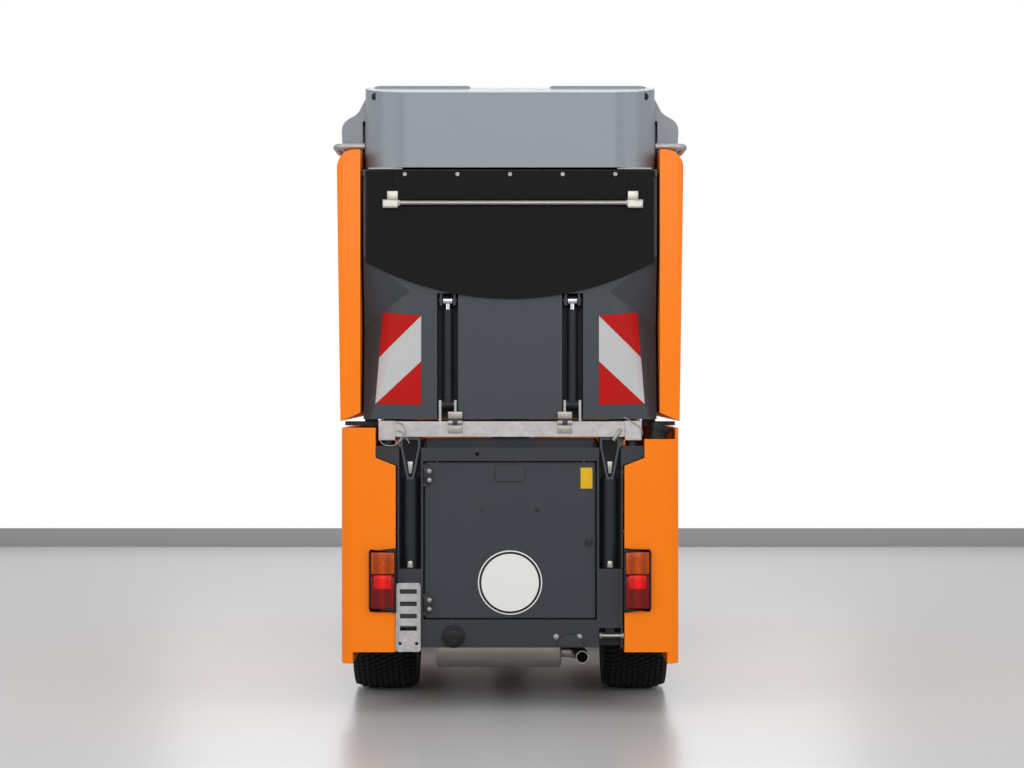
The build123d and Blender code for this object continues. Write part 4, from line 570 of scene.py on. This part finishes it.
disc = turned("speed_disc", (DISC[0], DOOR_FACE - 1, DISC[2]), 100, 2, "Y", 72)
choose(disc, lambda face: face.normal.y < -0.9)
bpy.ops.mesh.inset(thickness=0.006)
clear()
ease(disc, 0.4, 1, 60)
settle(disc, "engine_door", white_sheet)
ring = turned("speed_disc_ring", (DISC[0], DOOR_FACE - 2.3, DISC[2]), 96, 0.6, "Y", 72)
choose(ring, lambda face: abs(face.normal.y) > 0.9)
bpy.ops.mesh.inset(thickness=0.0065)
bpy.ops.mesh.delete(type="FACE")
clear()
settle(ring, "engine_door", black_ink)

label = blank(
    "blank_yellow_plate",
    (PLATE[0][0], DOOR_FACE - 1.2, PLATE[1][0]),
    (PLATE[0][1], DOOR_FACE, PLATE[1][1]),
)
choose(label, lambda face: face.normal.y < -0.9)
bpy.ops.mesh.inset(thickness=0.0012, depth=0.0003)
clear()
ease(label, 0.3, 1)
settle(label, "engine_door", yellow_sheet)

lock = turned("door_lock", (LOCK[0], DOOR_FACE - 2.5, LOCK[2]), 13, 5, "Y", 40, 12)
choose(lock, lambda face: face.normal.y < -0.9)
bpy.ops.mesh.inset(thickness=0.004)
bpy.ops.mesh.extrude_region_move(TRANSFORM_OT_translate={"value": (0, 0.0025, 0)})
bpy.ops.mesh.inset(thickness=0.003)
bpy.ops.mesh.extrude_region_move(TRANSFORM_OT_translate={"value": (0, -0.003, 0)})
clear()
ease(lock, 0.5, 2, 40)
settle(lock, "engine_door", black_zinc)

dimples = []
for x in (-87, 84):
    dimple = turned("dimple", (x, DOOR_FACE - 1.2, 629), 6, 2.4, "Y", 24, 4.5)
    ease(dimple, 1, 3, 20)
    dimples.append(dimple)
settle(weld("door_dimples", dimples), "engine_door", black_zinc)
DOOR_LEAF = DOOR_FACE - 13.2
for z, word in ((335, "low"), (735, "high")):
    leaf = blank(
        f"door_hinge_leaf_{word}",
        (-267.5, DOOR_LEAF, z - 24.5),
        (-245.5, DOOR_LEAF + 1, z + 24.5),
    )
    ease(leaf, 0.4, 2)
    settle(leaf, "engine_door", black_zinc)
hex_screw(
    "door_hinge_screws",
    [(-250, DOOR_LEAF, z + dz) for z in (335, 735) for dz in (-14, 14)],
    10,
    2.8,
    "engine_door",
)

# Skirt below the engine door: the frame's own sheet, with a round black cap on the towing
# socket at the left and a pressed half round at the right, each held with zinc screws.

SKIRT_FACE = -1755
# The moulded plastic's corners are a little paler: a painted highlight.
plastic = coat("moulded_black_plastic", "1B1C1E", 0.46, 1.2, 0.12, drift=0.08, edge_highlight="303134")
socket_cap = revolved(
    "socket_cap",
    ((0.5, 0), (0.5, -20), (22, -20), (25, -18), (27, -12), (33, -10), (35, -7), (35, 0)),
    (-176, SKIRT_FACE, 235),
    "Y",
    40,
)
ease(socket_cap, 1, 2, 50)
settle(socket_cap, "rear_frame", plastic)
lid_bar = blank("socket_lid_rib", (-190, SKIRT_FACE - 24.5, 231), (-162, SKIRT_FACE - 19, 239))
choose(lid_bar, lambda face: face.normal.y < -0.9)
bpy.ops.transform.resize(value=(0.8, 1, 0.7))
clear()
ease(lid_bar, 1.4, 2)
settle(lid_bar, "rear_frame", plastic)
round_screw(
    "socket_screws",
    [(-176 + 29 * math.sin(a), SKIRT_FACE - 9.5, 235 + 29 * math.cos(a)) for a in (0, 2.09, 4.19)],
    3.6,
    2,
    "rear_frame",
)
pressing = turned("tail_pressing", (186, SKIRT_FACE - 3, 201), 44, 6, "Y", 48, 40)
choose(pressing, lambda face: True)
bpy.ops.mesh.bisect(plane_co=(0.186, 0, 0.203), plane_no=(0, 0, 1), clear_inner=True, use_fill=True)
clear()
ease(pressing, 1.2, 2, 30)
settle(pressing, "rear_frame", chassis_coat)
hex_screw("skirt_screws", [(143, SKIRT_FACE, 235), (215, SKIRT_FACE, 235)], 13, 5, "rear_frame")

# Lift cylinders: black barrels pinned in the columns, with chromed rods. The tip cylinders
# are of the same make, in the hopper's channels. Rod heads are clear zinc.

# The barrels' corners are a little paler: a painted highlight.
barrel_black = coat("enamelled_cylinder", "212529", 0.36, 1.2, 0.06, edge_highlight="3A3F45")
dress(barrel_black, "lift_barrels", "tip_barrels")
chrome = metal("hard_chrome", "D2D4D6", 0.12, 1.0, (1, 1, 0.1), drift=0.03, depth=0.01)
dress(chrome, "lift_rods", "tip_rods")

# Lift frame: square tubes welded into a fork, hot-dip galvanised, so dull silver with a
# faint spangle and runs. The scissor arms under it are flame-cut plates in chassis coat.


galvanised = metal("hot_dip_galvanised_steel", "B4B2B1", 0.5, 9, drift=0.12, depth=0.12, radius=2.5)
spangle_tree = galvanised.node_tree
spangle = add_node(
    spangle_tree,
    "TexVoronoi",
    {"Scale": 1000 / 14},
    {"Vector": spangle_tree.nodes["Texture Coordinate"].outputs["Object"]},
)
facet = add_node(
    spangle_tree,
    "MapRange",
    {"To Min": 0.9, "To Max": 1.08},
    {"Value": spangle.outputs["Color"]},
)
plated = spangle_tree.nodes["Principled BSDF"].inputs["Base Color"].links[0].from_socket
mottled = add_node(
    spangle_tree,
    "MixRGB",
    {"blend_type": "MULTIPLY", "Fac": 1},
    {"Color1": plated, "Color2": facet.outputs[0]},
)
spangle_tree.links.new(mottled.outputs[0], spangle_tree.nodes["Principled BSDF"].inputs["Base Color"])
dress(galvanised, "lift_frame", "slotted_plate", "grab_loops")
# The arms' corners are a little paler: a painted highlight.
arm_coat = coat("powder_coated_arm", "3B3E42", 0.46, 1.6, 0.12, edge_highlight="5B5F65")
dress(arm_coat, "scissor_outer", "scissor_inner", "front_linkage", "brush_arm_left", "brush_arm_right")


def plate_on(name, low, high, lip, body, finish, corner=2, smooth=35):
    """A pressed plate between two corners: rounded upright edges and a face set in by a lip."""
    piece = blank(name, low, high)
    choose(piece, lambda face: face.normal.y < -0.9)
    bpy.ops.mesh.inset(thickness=lip / 1000, depth=lip / 4000)
    clear()
    ease(piece, corner, 3, 60)
    return settle(piece, body, finish, smooth)


# Each end of the fork's side tubes is closed with a welded cap, and the tip hinge has
# stainless leaves, screwed to the hopper above and to the cross tube below.

for side, word in ((-1, "left"), (1, "right")):
    near, far = sorted((side * 356, side * 408))
    plate_on(
        f"tube_cap_{word}",
        (near, -1760.5, 844.5),
        (far, -1756, 905),
        1.5,
        "lift_frame",
        galvanised,
    )
    near, far = side * 170 - 22, side * 170 + 22
    for part, rear, front, base, top, body in (
        ("low", -1763, -1760.5, 867, 889, "lift_frame"),
        ("high", -1760.5, -1757.5, 911.5, 933, "hopper"),
    ):
        plate_on(
            f"hinge_leaf_{part}_{word}",
            (near, rear, base),
            (far, front, top),
            0.8,
            body,
            stainless,
            0.6,
        )
    for z, body, face, part in ((878, "lift_frame", -1763, "low"), (922, "hopper", -1760.5, "high")):
        round_screw(
            f"hinge_screws_{part}_{word}",
            [(side * 170 + dx, face, z) for dx in (-14, 14)],
            4,
            1.8,
            body,
            finish=zinc,
        )

# Lift brackets: pressed sheets in chassis coat, tapered down to the rod's eye. Each has a
# raised rim with a painted highlight on its corners, and its closed, recessed middle round the zinc-plated
# eye is coloured near black as painted shade.

painted_shade_recess = coat("shadowed_chassis_coat", "0D0E10", 0.7, 2, 0.1, drift=0.1)
bracket_coat = coat("powder_coated_bracket", "474D54", 0.42, 1.4, 0.1, edge_highlight="6E747B")
for side, word in ((-1, "left"), (1, "right")):
    x = side * 310
    bracket = blank(f"lift_bracket_{word}", (x - 31, -1747, 722), (x + 31, -1741, 853))
    for hand in (-1, 1):
        choose(bracket, lambda face: True)
        bpy.ops.mesh.bisect(
            plane_co=((x + hand * 31) / 1000, 0, 0.822),
            plane_no=Vector((hand * 100, 0, -20)).normalized(),
            clear_outer=True,
            use_fill=True,
        )
        clear()
    choose(bracket, lambda face: face.normal.y < -0.9)
    bpy.ops.mesh.inset(thickness=0.007)
    bpy.ops.mesh.extrude_region_move(TRANSFORM_OT_translate={"value": (0, 0.003, 0)})
    clear()
    ease(bracket, 1.2, 2, 30)
    settle(bracket, "lift_frame", bracket_coat)
    # The recessed middle faces take the near-black painted shade.
    bracket.data.materials.append(painted_shade_recess)
    for face in bracket.data.polygons:
        if face.normal.y < -0.9 and face.center.y > -1.7452:
            face.material_index = 1
    eye = blank(f"rod_eye_{word}", (x - 9, -1749, 741), (x + 9, -1743, 779))
    choose(eye, lambda face: face.normal.z < -0.9)
    bpy.ops.transform.resize(value=(0.55, 1, 1))
    clear()
    ease(eye, 2, 3)
    settle(eye, "lift_frame", zinc)
    end = blank(f"barrel_end_{word}", (x - 9, -1757, 449), (x + 9, -1754, 470))
    choose(end, lambda face: face.normal.z > 0.9)
    bpy.ops.transform.resize(value=(0.7, 1, 1))
    clear()
    ease(end, 1.2, 2)
    settle(end, "rear_frame", zinc)
hex_screw(
    "column_side_screws",
    [(side * 352, -1740, z) for side in (-1, 1) for z in (745, 560)],
    8,
    4,
    "rear_frame",
    axis="X",
    face=1,
)

# Column pin: a zinc-plated clevis pin with a washer and a nut, through the right column.

pin = turned("column_pin", (315, -1760, 239), 5.5, 66, "X", 24)
choose(pin, lambda face: abs(face.normal.x) > 0.9)
bpy.ops.mesh.inset(thickness=0.0015, depth=0.0008)
clear()
ends = []
for x in (281, 349):
    nut = turned("pin_nut", (x, -1760, 239), 9, 8, "X", 6)
    ease(nut, 0.8, 2, 30)
    ends.append(nut)
settle(weld("column_pin", [pin, *ends]), "rear_frame", zinc)

# Lanyards: thin steel wires that hold the two service pins at the ends of the lift frame.
# Each is a short loop from the tube cap down to the bracket.


def wire(name, points, radius, body, finish):
    """A bent wire: a smooth curve through its bends, given its thickness and made a mesh."""
    curve = bpy.data.curves.new(name, "CURVE")
    curve.dimensions = "3D"
    curve.bevel_depth = radius / 1000
    curve.bevel_resolution = 3
    curve.resolution_u = 8
    curve.use_fill_caps = True
    line = curve.splines.new("NURBS")
    line.points.add(len(points) - 1)
    for point, place_at in zip(line.points, points):
        point.co = (*[value / 1000 for value in place_at], 1)
    line.order_u = 3
    line.use_endpoint_u = True
    made = bpy.data.objects.new(name, curve)
    bpy.context.scene.collection.objects.link(made)
    clear()
    made.select_set(True)
    bpy.context.view_layer.objects.active = made
    bpy.ops.object.convert(target="MESH")
    return settle(bpy.context.object, body, finish, 60)


WIRES = (
    (
        "lanyard_left_loop",
        ((-352, -1764, 900), (-330, -1767, 896), (-322, -1768, 872), (-336, -1767, 842), (-352, -1766, 836)),
    ),
    (
        "lanyard_left_end",
        ((-350, -1764, 874), (-332, -1768, 872), (-322, -1768, 852), (-312, -1766, 836)),
    ),
    (
        "lanyard_left_low",
        ((-404, -1763, 846), (-398, -1768, 832), (-370, -1768, 826), (-345, -1767, 834), (-334, -1766, 860)),
    ),
    (
        "lanyard_right",
        ((352, -1764, 916), (372, -1768, 906), (392, -1768, 894), (409, -1766, 880), (411, -1762, 862)),
    ),
)
for name, points in WIRES:
    wire(name, points, 1.6, "lift_frame", zinc)
service_pin = turned("service_pin", (332, -1764, 862), 6, 44, "Z", 20, 5)
clear()
service_pin.select_set(True)
bpy.context.view_layer.objects.active = service_pin
bpy.ops.object.mode_set(mode="EDIT")
bpy.ops.mesh.select_all(action="SELECT")
bpy.ops.transform.rotate(
    value=math.radians(-32),
    orient_axis="Y",
    center_override=(0.332, -1.764, 0.862),
)
clear()
ease(service_pin, 1, 2, 40)
settle(service_pin, "lift_frame", zinc)

# Rear lamps: a black housing on each side panel with an amber, a bright red and a dark red
# acrylic lens, one above the other. The lenses are ribbed inside, and the red one is square.

housing = coat("moulded_lamp_housing", "151516", 0.4, 1.2, 0.1, drift=0.06)
dress(housing, "rear_lamps")
LENSES = (
    ("amber_lens", 430, 500, "B84600", 0),
    ("tail_lens", 322, 424, "7A0806", 0),
    ("reflex_lens", 384, 427, "F0150F", 10),
)


def acrylic(name, colour, pitch):
    """Tinted acrylic over a ribbed reflector: glossy outside, with vertical bands and cells of painted
    reflection from the reflector multiplied into its colour.
    """
    material = bpy.data.materials.new(name)
    material.use_nodes = True
    tree = material.node_tree
    shader = tree.nodes["Principled BSDF"]
    place = add_node(tree, "TexCoord").outputs["Object"]
    ribs = add_node(
        tree,
        "TexWave",
        {"wave_type": "BANDS", "bands_direction": "X", "Scale": 1000 / pitch / 20, "Distortion": 0},
        {"Vector": place},
    )
    cells = add_node(tree, "TexVoronoi", {"Scale": 1000 / pitch}, {"Vector": place})
    # The rib bands and cells brighten and darken the tint: painted reflection of the reflector behind the
    # lens.
    painted_rib_reflection = add_node(tree, "Math", {"operation": "MULTIPLY"}, {0: ribs.outputs[1], 1: cells.outputs[0]})
    tone = add_node(tree, "MapRange", {"To Min": 0.7, "To Max": 1.5}, {"Value": painted_rib_reflection.outputs[0]})
    base = add_node(
        tree,
        "MixRGB",
        {"blend_type": "MULTIPLY", "Fac": 1, "Color1": linear(colour)},
        {"Color2": tone.outputs[0]},
    )
    tree.links.new(base.outputs[0], shader.inputs["Base Color"])
    bump = add_node(tree, "Bump", {"Strength": 0.4, "Distance": 0.0004}, {"Height": ribs.outputs[1]})
    tree.links.new(bump.outputs[0], shader.inputs["Normal"])
    shader.inputs["Roughness"].default_value = 0.22
    shader.inputs["Specular IOR Level"].default_value = 0.25
    return material


for name, low, high, code, inset in LENSES:
    lens_stuff = acrylic(f"acrylic_{name}", code, 6)
    for side, word in ((-1, "left"), (1, "right")):
        near, far = sorted((side * (357 + inset), side * (431 - inset)))
        front = -1778 if inset else -1775.5
        lens = blank(f"{name}_{word}", (near, front, low), (far, -1768, high))
        choose(lens, lambda face: face.normal.y < -0.9)
        bpy.ops.mesh.inset(thickness=0.004)
        bpy.ops.transform.translate(value=(0, -0.0015, 0))
        clear()
        ease(lens, 3, 3)
        settle(lens, "rear_frame", lens_stuff)
for side, word in ((-1, "left"), (1, "right")):
    near, far = sorted((side * 352, side * 437))
    hood = blank(f"lamp_surround_{word}", (near, -1777.5, 311), (far, -1765.3, 511))
    choose(hood, lambda face: face.normal.y < -0.9)
    bpy.ops.mesh.inset(thickness=0.006)
    bpy.ops.mesh.extrude_region_move(TRANSFORM_OT_translate={"value": (0, 0.007, 0)})
    clear()
    choose(hood, lambda face: face.normal.x * side > 0.9)
    bpy.ops.transform.resize(value=(1, 1, 0.9))
    clear()
    ease(hood, 3.5, 3)
    settle(hood, "rear_frame", housing)
    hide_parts("rear_lamps")

# Lift hoses: rubber hydraulic hoses that leave each column's top and run forwards under the tube,
# and a near-black disc in the tailpipe's end: painted shade for its open bore.

hose_rubber = coat("braided_hydraulic_hose", "131315", 0.6, 2.5, 0.3, drift=0.1)
for side, word in ((-1, "left"), (1, "right")):
    x = side * 266
    up = ((x, -1724, 792), (x, -1724, 826), (x, -1720, 842))
    forwards = ((x, -1690, 843), (x, -1560, 835), (x, -1400, 820))
    wire(f"lift_hose_{word}", (*up, *forwards), 7.5, "rear_frame", hose_rubber)
# A near-black disc closes the tailpipe's end and stands for its shaded bore: painted shade.
painted_bore_shade = coat("painted_bore_shade", "0A0A0A", 0.9, 3, 0.3, shine=0.05)
pipe_end = turned("tailpipe_painted_bore_shade", (225, -1722, 168), 16.8, 5, "Y", 32)
choose(pipe_end, lambda face: face.normal.y < -0.9)
bpy.ops.mesh.inset(thickness=0.004, depth=-0.002)
clear()
settle(pipe_end, "rear_frame", painted_bore_shade)

# Fuel filler: a black moulded neck and cap on the right panel's ledge, ribbed for grip.

dress(plastic, "fuel_filler")

# Lower side panels: thick rotation-moulded polyethylene, coloured through in orange. Moulding
# leaves a fine leather grain and soft corners, whose paler lines are a painted highlight.

orange = coat(
    "rotomoulded_orange_polyethylene",
    "FF8000",
    0.42,
    1.8,
    0.1,
    drift=0.03,
    edge_highlight="FFA43C",
    radius=4,
    shine=0.1,
)
orange.node_tree.nodes["Principled BSDF"].inputs["Coat Weight"].default_value = 0.25
orange.node_tree.nodes["Principled BSDF"].inputs["Coat Roughness"].default_value = 0.2
dress(orange, "lower_panel_left", "lower_panel_right", "upper_panel_left", "upper_panel_right")

# Hopper: welded steel sheet, powder coated anthracite inside and out. Its rear has facets at
# both corners and two channels for the tip cylinders, and its corners are paler, a painted highlight.

hopper_coat = coat("powder_coated_hopper", "3F4349", 0.4, 1.5, 0.1, drift=0.06, edge_highlight="5F656C")
dress(hopper_coat, "hopper_shell")

# Chevron plates: two retro-reflective sheets with a diagonal white band on red, one on each
# rear corner. Each is bent over the fold between the flat rear and the slanting facet.

red_sheet = coat("retroreflective_red_sheet", "B8120E", 0.45, 0.9, 0.02, drift=0.07, shine=0.12)
band_sheet = coat("retroreflective_band_sheet", "BFC0C1", 0.36, 0.9, 0.02, drift=0.05)
PLATE_CORNERS = ((-397, 1242), (-276, 1231), (-276, 954), (-418, 957))


def chevron_sheet(name, corners, side, stand_off, material):
    """A thin sheet between four corners, subdivided and laid on the folded rear of the hopper."""
    clear()
    bpy.ops.mesh.primitive_plane_add(size=1)
    sheet = bpy.context.object
    sheet.name = name
    for vertex, (x, z) in zip(sheet.data.vertices, (corners[3], corners[2], corners[0], corners[1])):
        vertex.co = (x * -side / 1000, -2, z / 1000)
    choose(sheet, lambda face: True)
    bpy.ops.mesh.subdivide(number_cuts=27)
    clear()
    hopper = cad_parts["hopper_shell"]
    for vertex in sheet.data.vertices:
        start = Vector((vertex.co.x, -2, vertex.co.z))
        found, place_at = hopper.ray_cast(start, Vector((0, 1, 0)))[:2]
        vertex.co.y = (place_at.y if found else -1.75) - stand_off / 1000
    choose(sheet, lambda face: True)
    bpy.ops.mesh.remove_doubles(threshold=0.0001)
    bpy.ops.mesh.normals_make_consistent(inside=False)
    clear()
    if sum(face.normal.y * face.area for face in sheet.data.polygons) > 0:
        sheet.data.flip_normals()
    apply(sheet, "SOLIDIFY", thickness=0.001, offset=1)
    return settle(sheet, "hopper", material, 12)


top_left, top_right, low_right, low_left = PLATE_CORNERS


def edge_point(start, end, share):
    """A point on the line between two corners."""
    return tuple(a + (b - a) * share for a, b in zip(start, end))


left_high = edge_point(low_left, top_left, 0.505)
right_mid = edge_point(low_right, top_right, 0.49)
for side, word in ((-1, "left"), (1, "right")):
    chevron_sheet(
        f"chevron_upper_{word}",
        (top_left, top_right, top_right, left_high),
        side,
        0.6,
        red_sheet,
    )
    chevron_sheet(
        f"chevron_band_{word}",
        (left_high, top_right, right_mid, low_left),
        side,
        0.5,
        band_sheet,
    )
    chevron_sheet(
        f"chevron_lower_{word}",
        (right_mid, right_mid, low_right, low_left),
        side,
        0.6,
        red_sheet,
    )

# Rear cover and roof hood: glass-fibre mouldings, gel-coated grey in the mould and polished.
# The cover has large corners. Small black buffers stand on it at both top corners.

# The gel coat's paler corners are a painted highlight.
gel_coat = coat("gel_coated_grey_moulding", "889099", 0.5, 40, 0.15, drift=0.03, edge_highlight="A9AEB4", radius=4)
gel_coat.node_tree.nodes["Principled BSDF"].inputs["Coat Weight"].default_value = 0.3
gel_coat.node_tree.nodes["Principled BSDF"].inputs["Coat Roughness"].default_value = 0.15
dress(gel_coat, "rear_cover", "roof_hood")
soft_rubber = coat("moulded_soft_rubber", "1B1B1C", 0.68, 1.5, 0.12, drift=0.1)
buffers = []
for side in (-1, 1):
    buffer = turned("cover_buffer", (side * 418, -1722, 1915), 15, 22, "Y", 28, 12)
    ease(buffer, 3, 3, 40)
    buffers.append(buffer)
settle(weld("cover_buffers", buffers), "hopper", soft_rubber)

# Discharge flap: a sheet of black rubber bolted under the cover through a steel strip, and
# kept straight by a zinc-plated tube in two clips. It is matt, with a faint cloth imprint.

flap_rubber = coat("calendered_black_rubber", "121213", 0.5, 3.2, 0.18, drift=0.16, shine=0.1)
dress(flap_rubber, "discharge_flap")
dress(zinc, "flap_rod")
round_screw(
    "flap_strip_screws",
    [(x, -1766, 1669) for x in (-326, -163, 0, 163, 326)],
    6.5,
    3,
    "discharge_flap",
    finish=zinc,
)

# Clips of the flap's tube: a folded zinc-plated tab at each end, with a short clamp under it.

FLAP_CLIPS = (
    # tab's two ends, clamp's two ends, side
    (-381, -347, -394, -347, "left"),
    (364, 397, 364, 411, "right"),
)
for low, high, foot_low, foot_high, word in FLAP_CLIPS:
    plate_on(
        f"flap_tab_{word}",
        (low, -1773, 1589),
        (high, -1765, 1617),
        2,
        "discharge_flap",
        zinc,
        1.5,
    )
    clamp = blank(f"flap_clamp_{word}", (foot_low, -1779.5, 1563), (foot_high, -1771, 1590))
    choose(clamp, lambda face: face.normal.y < -0.9)
    bpy.ops.mesh.inset(thickness=0.002)
    bpy.ops.transform.resize(value=(1, 1, 0.5))
    clear()
    ease(clamp, 1.5, 3)
    settle(clamp, "discharge_flap", zinc)

# Corner flanges: light grey plates that close the cover's corners from below.

pale_coat = coat("gel_coated_pale_flange", "BDB9B6", 0.4, 30, 0.1, drift=0.03)
for side, word in ((-1, "left"), (1, "right")):
    near, far = sorted((side * 344, side * 450))
    flange = blank(f"corner_flange_{word}", (near, -1772, 1685), (far, -1640, 1688.7))
    choose(flange, lambda face: face.normal.y < -0.9)
    bpy.ops.transform.translate(value=(-side * 0.012, 0, 0))
    clear()
    choose(flange, lambda face: face.normal.z < -0.9)
    bpy.ops.mesh.inset(thickness=0.003, depth=0.0006)
    clear()
    ease(flange, 1, 2)
    settle(flange, "hopper", pale_coat)

# Cab: a welded tube frame with glued steel skins, enamelled orange, and a grey moulded roof.
# The enamel is glossy under a clear coat. Each door has a black moulded handle with a sunk grip.

# The enamel's paler corners are a painted highlight.
cab_paint = coat("baked_orange_enamel", "FF8000", 0.3, 2, 0.06, drift=0.03, edge_highlight="FFA43C", radius=3)
cab_shader = cab_paint.node_tree.nodes["Principled BSDF"]
cab_shader.inputs["Coat Weight"].default_value = 0.35
cab_shader.inputs["Coat Roughness"].default_value = 0.12
dress(cab_paint, "cab_shell", "door_left", "door_right")
dress(gel_coat, "cab_roof")
dress(plastic, "seat_pan", "steering_column", "mirrors")
for side, word in ((-1, "left"), (1, "right")):
    near, far = sorted((side * 478, side * 493))
    handle = blank(f"door_handle_{word}", (near, -150, 1010), (far, -40, 1052))
    choose(handle, lambda face: face.normal.x * side > 0.9)
    bpy.ops.mesh.inset(thickness=0.01)
    bpy.ops.mesh.extrude_region_move(TRANSFORM_OT_translate={"value": (-side * 0.008, 0, 0)})
    clear()
    ease(handle, 4, 3)
    settle(handle, f"door_{word}", plastic)

# Beacon and head lamps: an amber acrylic dome, and clear acrylic lenses on black moulded
# housings. The lenses have a stepped rim and stand as the housings do, turned outwards.

amber = acrylic("acrylic_amber_dome", "E77A0A", 8)
dress(amber, "beacon")
dress(plastic, "head_lamps")
head_lens = acrylic("acrylic_head_lamp", "B4BABF", 4)
LENS_X, LENS_Y, LENS_Z = 0.33604, 0.9085, 0.6403
LENS_TILT = 2.8
LENS_TURN = 9
for side, word in ((-1, "left"), (1, "right")):
    lens = turned(f"head_lens_{word}", (0, 0, 0), 40, 6, "Y", 48)
    choose(lens, lambda face: face.normal.y < -0.9)
    bpy.ops.mesh.inset(thickness=0.012, depth=0.003)
    clear()
    ease(lens, 1.5, 3)
    turn = math.radians(180) - side * math.radians(LENS_TURN)
    lens.rotation_euler = (math.radians(LENS_TILT), 0, turn)
    lens.location = (side * LENS_X, LENS_Y, LENS_Z)
    settle(lens, "front_frame", head_lens)

# Windows: sheets of tempered safety glass, tinted faintly green and a little uneven in tint.

glass = bpy.data.materials.new("tempered_green_glass")
glass.use_nodes = True
glass_tree = glass.node_tree
pane = glass_tree.nodes["Principled BSDF"]
pane.inputs["Roughness"].default_value = 0.02
pane.inputs["Alpha"].default_value = 0.28
glass_place = add_node(glass_tree, "TexCoord").outputs["Object"]
haze = add_node(glass_tree, "TexNoise", {"Scale": 3}, {"Vector": glass_place})
tint = add_node(
    glass_tree,
    "MixRGB",
    {"Color1": linear("2C3A36"), "Color2": linear("3A4743")},
    {"Fac": haze.outputs[0]},
)
glass_tree.links.new(tint.outputs[0], pane.inputs["Base Color"])
dress(glass, "cab_glass", "door_glass_left", "door_glass_right")

# Seat cushions: moulded foam under a woven cover, glued to the pan. Each swells between its
# corners, and two sewn channels cross the base and the back.

WEAVE = 2.4  # thread pair in millimetres, coarser than the real 0.8 so that it shows
fabric = coat("woven_seat_fabric", "26272A", 0.85, 1.4, 0.3, drift=0.12)
cloth_tree = fabric.node_tree
cloth_place = add_node(cloth_tree, "TexCoord").outputs["Object"]
threads = [
    add_node(
        cloth_tree,
        "TexWave",
        {"wave_type": "BANDS", "bands_direction": way, "Scale": 1000 / WEAVE / 20},
        {"Vector": cloth_place},
    )
    for way in ("X", "Z")
]
crossing = add_node(
    cloth_tree,
    "Math",
    {"operation": "MULTIPLY"},
    {0: threads[0].outputs[1], 1: threads[1].outputs[1]},
)
cloth_shader = cloth_tree.nodes["Principled BSDF"]
raised = add_node(
    cloth_tree,
    "Bump",
    {"Strength": 0.2, "Distance": 0.0003},
    {"Height": crossing.outputs[0]},
)
cloth_tree.links.new(raised.outputs[0], cloth_shader.inputs["Normal"])
cloth_shader.inputs["Sheen Weight"].default_value = 0.25
SEAT_SWELL = 7
CHANNEL_DEPTH = 5
CUSHIONS = (
    # name, low corner, high corner, face that is sewn, lean in degrees, place, channels
    ("seat_base", (-212, -180, 797), (212, 176, 866), 2, 0, (0, 0, 0), (-70, 70)),
    ("seat_back", (-212, -29, -222), (212, 29, 222), 1, 6.84, (0, -207.8, 1120.5), (-70, 70)),
    ("seat_head_rest", (-117, -29, -52), (117, 29, 52), 1, 6.84, (0, -242.4, 1408.6), ()),
)
for name, low, high, way, lean, place_at, channels in CUSHIONS:
    pad = blank(name, low, high)
    ease(pad, 20, 4)
    apply(pad, "REMESH", mode="VOXEL", voxel_size=0.008)
    swell = pad.modifiers.new("swell", "CLOTH")
    swell.settings.use_pressure = True
    swell.settings.uniform_pressure_force = 4
    swell.settings.effector_weights.gravity = 0
    for step in range(1, 21):
        bpy.context.scene.frame_set(step)
    swollen = pad.evaluated_get(bpy.context.evaluated_depsgraph_get()).data
    targets = [vertex.co.copy() for vertex in swollen.vertices]
    pad.modifiers.remove(swell)
    bpy.context.scene.frame_set(1)
    for vertex, target in zip(pad.data.vertices, targets):
        step = target - vertex.co
        if step.length > SEAT_SWELL / 1000:
            step *= SEAT_SWELL / 1000 / step.length
        vertex.co += step
    rest = low[2] / 1000 - 0.0045
    for vertex in pad.data.vertices:
        if name == "seat_base":
            vertex.co.z = max(vertex.co.z, rest)
        if vertex.normal[way] > 0.5:
            for channel in channels:
                across = (vertex.co.x * 1000 - channel) / 6
                vertex.co[way] -= CHANNEL_DEPTH / 1000 * math.exp(-across * across)
    apply(pad, "SUBSURF", levels=1, render_levels=1)
    pad.rotation_euler = (math.radians(lean), 0, 0)
    pad.location = [value / 1000 for value in place_at]
    settle(pad, "front_frame", fabric, 180)
    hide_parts("seat_cushions")

# Suction system: wide stainless ducts from the mouth behind the brushes up to the hopper.
# A ribbed rubber hose joins them across the articulated joint.

dress(stainless, "suction_duct", "rear_duct")
dress(arm_coat, "suction_mouth")
low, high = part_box("flex_hose")
HOSE_PITCH = 19
outer = (high.z - low.z) * 500 - 0.5
length = (high.y - low.y) * 1000
folds = [(outer - 2, 0), (outer - 2, 16)]
turns = int((length - 32) // HOSE_PITCH)
for turn in range(turns):
    start = 16 + (length - 32) / turns * turn
    folds += [(outer - 8, start + 3), (outer - 1, start + 8)]
    folds += [(outer, start + 11), (outer - 1, start + 14)]
folds += [(outer - 2, length - 16), (outer - 2, length)]
folds += [(outer - 14, length), (outer - 14, 0), (outer - 2, 0)]
hose = revolved("ribbed_hose", folds, (0, low.y * 1000, (low.z + high.z) * 500), "Y", 64)
clear()
hose.select_set(True)
bpy.context.view_layer.objects.active = hose
bpy.ops.object.shade_smooth_by_angle(angle=math.radians(50))
hose.data.materials.append(flap_rubber)
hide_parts("flex_hose")
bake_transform(hose)

# Disc brushes: moulded plastic plates with flared tufts of stiff polypropylene bristle.

bristle = coat("polypropylene_bristle", "20252B", 0.6, 1.2, 0.3, drift=0.3)
dress(bristle, "brush_left", "brush_right")
